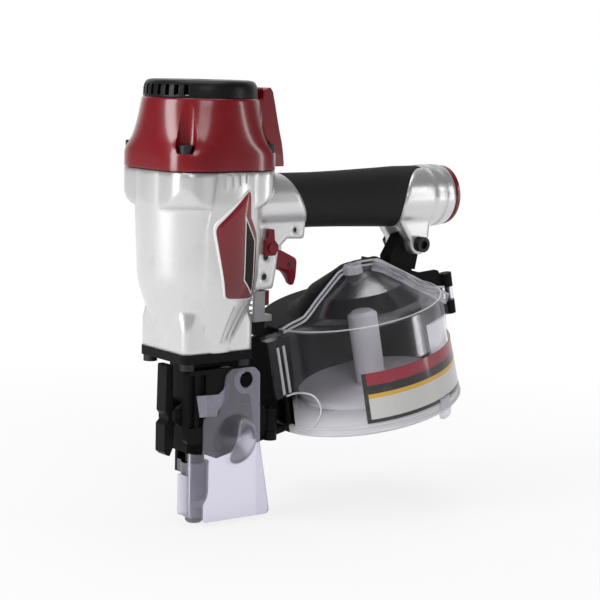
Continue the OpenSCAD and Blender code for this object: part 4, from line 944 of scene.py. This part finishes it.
dress(makeMetal("blackenedBolt"), "cap_bolts", "nose_bolts", "lug_bolt", "deflector_bolt", "roll_pins",
      "lever_pin", "latch_pin", "door_hinge_pin", "cover_hinge_pin", "magazine_spindle", "pawl_pin")
dress(makeMetal("zincPlate"), "contact_plate", "trigger_lever", "feed_pawl")
groundSteel = makeMetal("groundSteel")
dress(groundSteel, "cylinder_sleeve", "driver_blade", "valve_stem", "feed_piston", "head_valve_spring",
      "valve_spring", "contact_spring")
makeSprings(groundSteel)
dress(makeMetal("turnedMetal"), "piston", "head_valve")
dress(makeMetal("footSteel"), "contact_foot")
dress(makeMetal("feedMetal"), "feed_cylinder")
print("metal pieces made")

dress(makeTray(), "nail_support")
dress(makeClear("smokedCover", cover, coverMilkAndPaintedLight), "magazine_cover")
makeTrim()
makeShield()
makeBadge()
dress(makeLabel(), "cover_label")
print("magazine, shield and badge made, finishes:", len(bpy.data.materials))

# pale floor and white surroundings
studio = {"floor": 3.0, "height": -0.0008, "rough": 0.9,
          "pale": (0.82, 0.82, 0.82), "paleVary": 0.98, "paleClouds": 8.0,
          "shadow": 0.2, "shadowMiddle": 0.05, "shadowEdge": (0.12, 0.55),
          "ambient": 0.3, "room": 0.1, "toCamera": (-0.56, -0.83), "roomEdge": (-0.97, -0.55)}


def rayKinds(f):
    path = f.node("ShaderNodeLightPath", {}, {}, None)
    return [Wire(f, path.outputs["Is %s Ray" % kind]) for kind in ("Camera", "Glossy", "Transmission")]


def makeFloor():
    size, height = studio["floor"], studio["height"]
    corners = [(-size, -size, height), (size, -size, height), (size, size, height), (-size, size, height)]
    mesh = bpy.data.meshes.new("studioFloor")
    mesh.from_pydata(corners, [], [(0, 1, 2, 3)])
    floor = bpy.data.objects.new("studioFloor", mesh)
    scene.collection.objects.link(floor)
    f = newFinish("paleFloor", Roughness=studio["rough"])
    shaded = tuple(studio["paleVary"] * c for c in studio["pale"])
    f.set(Base_Color=f.mix(f.noise(studio["paleClouds"]), studio["pale"], shaded))
    x, y, z = f.place().parts()
    away = awaySquared(x, y, (studio["shadowMiddle"], 0.0)).root().edge(*studio["shadowEdge"])
    glow = f.node("ShaderNodeEmission", {}, {"Color": white, "Strength": 1.0}, None)
    camera, glossy, through = rayKinds(f)
    seen = camera.atLeast(glossy).atLeast(through)
    f.layer(seen * (1.0 - (1.0 - away) * studio["shadow"]), f.shader, glow)
    mesh.materials.append(f.owner)


def makeWorld():
    # reflections see the white backdrop behind the tool and a dimmer room in front of it
    scene.world = bpy.data.worlds.new("studioWorld")
    f = Finish(scene.world, "ShaderNodeBackground", Color=white)
    camera, glossy, through = rayKinds(f)
    x, y, z = f.node("ShaderNodeTexCoord", {}, {}, "Generated").parts()
    cameraX, cameraY = studio["toCamera"]
    front = (x * cameraX + y * cameraY).edge(*studio["roomEdge"])
    mirrored = 1.0 - front * (1.0 - studio["room"])
    light = f.node("ShaderNodeMix", {}, {0: glossy, 2: studio["ambient"], 3: mirrored})
    f.set(Strength=f.node("ShaderNodeMix", {}, {0: camera.atLeast(through), 2: light, 3: 1.0}))


# softboxes: place, size across and up, power, aimed at the middle of the tool
softboxes = {
    "leftBox": ((-1.25, 0.1, 0.6), (0.5, 1.0), 13.0),
    "frontBox": ((-0.6, -1.5, 1.1), (0.7, 0.7), 6.0),
    "rightStrip": ((1.06, -0.84, 0.3), (0.13, 0.9), 2.5),
    "topBox": ((0.1, 0.1, 1.35), (0.9, 0.9), 7.0),
}
lampTarget = Vector((0.05, 0.0, 0.14))


def makeLamps():
    for name, (place, size, power) in softboxes.items():
        lamp = bpy.data.lights.new(name, "AREA")
        lamp.shape = "RECTANGLE"
        lamp.size, lamp.size_y = size
        lamp.energy = power
        holder = bpy.data.objects.new(name, lamp)
        holder.location = place
        holder.rotation_euler = (lampTarget - Vector(place)).to_track_quat("-Z", "Y").to_euler()
        scene.collection.objects.link(holder)


# camera fitted to the photograph's view of the tool
view = {"azimuth": -37.5, "elevation": 8.0, "roll": 1.39, "place": (-0.5804, -0.8585, 0.2845),
        "focal": 1726.0, "picture": 600.0, "sensor": 36.0, "nearest": 0.01}


def makeCamera():
    a, e, r = [math.radians(view[key]) for key in ("azimuth", "elevation", "roll")]
    back = Vector((math.sin(a) * math.cos(e), -math.cos(a) * math.cos(e), math.sin(e)))
    right = (-back).cross(upright).normalized()
    up = right.cross(-back)
    across = right * math.cos(r) + up * math.sin(r)
    upward = up * math.cos(r) - right * math.sin(r)
    lens = bpy.data.cameras.new("viewCamera")
    lens.sensor_width = view["sensor"]
    lens.lens = view["focal"] / view["picture"] * view["sensor"]
    lens.clip_start = view["nearest"]
    holder = bpy.data.objects.new("viewCamera", lens)
    turn = Matrix((across, upward, back)).transposed().to_4x4()
    holder.matrix_world = Matrix.Translation(Vector(view["place"])) @ turn
    scene.collection.objects.link(holder)
    scene.camera = holder


makeFloor()
makeWorld()
makeLamps()
makeCamera()
print("studio made")
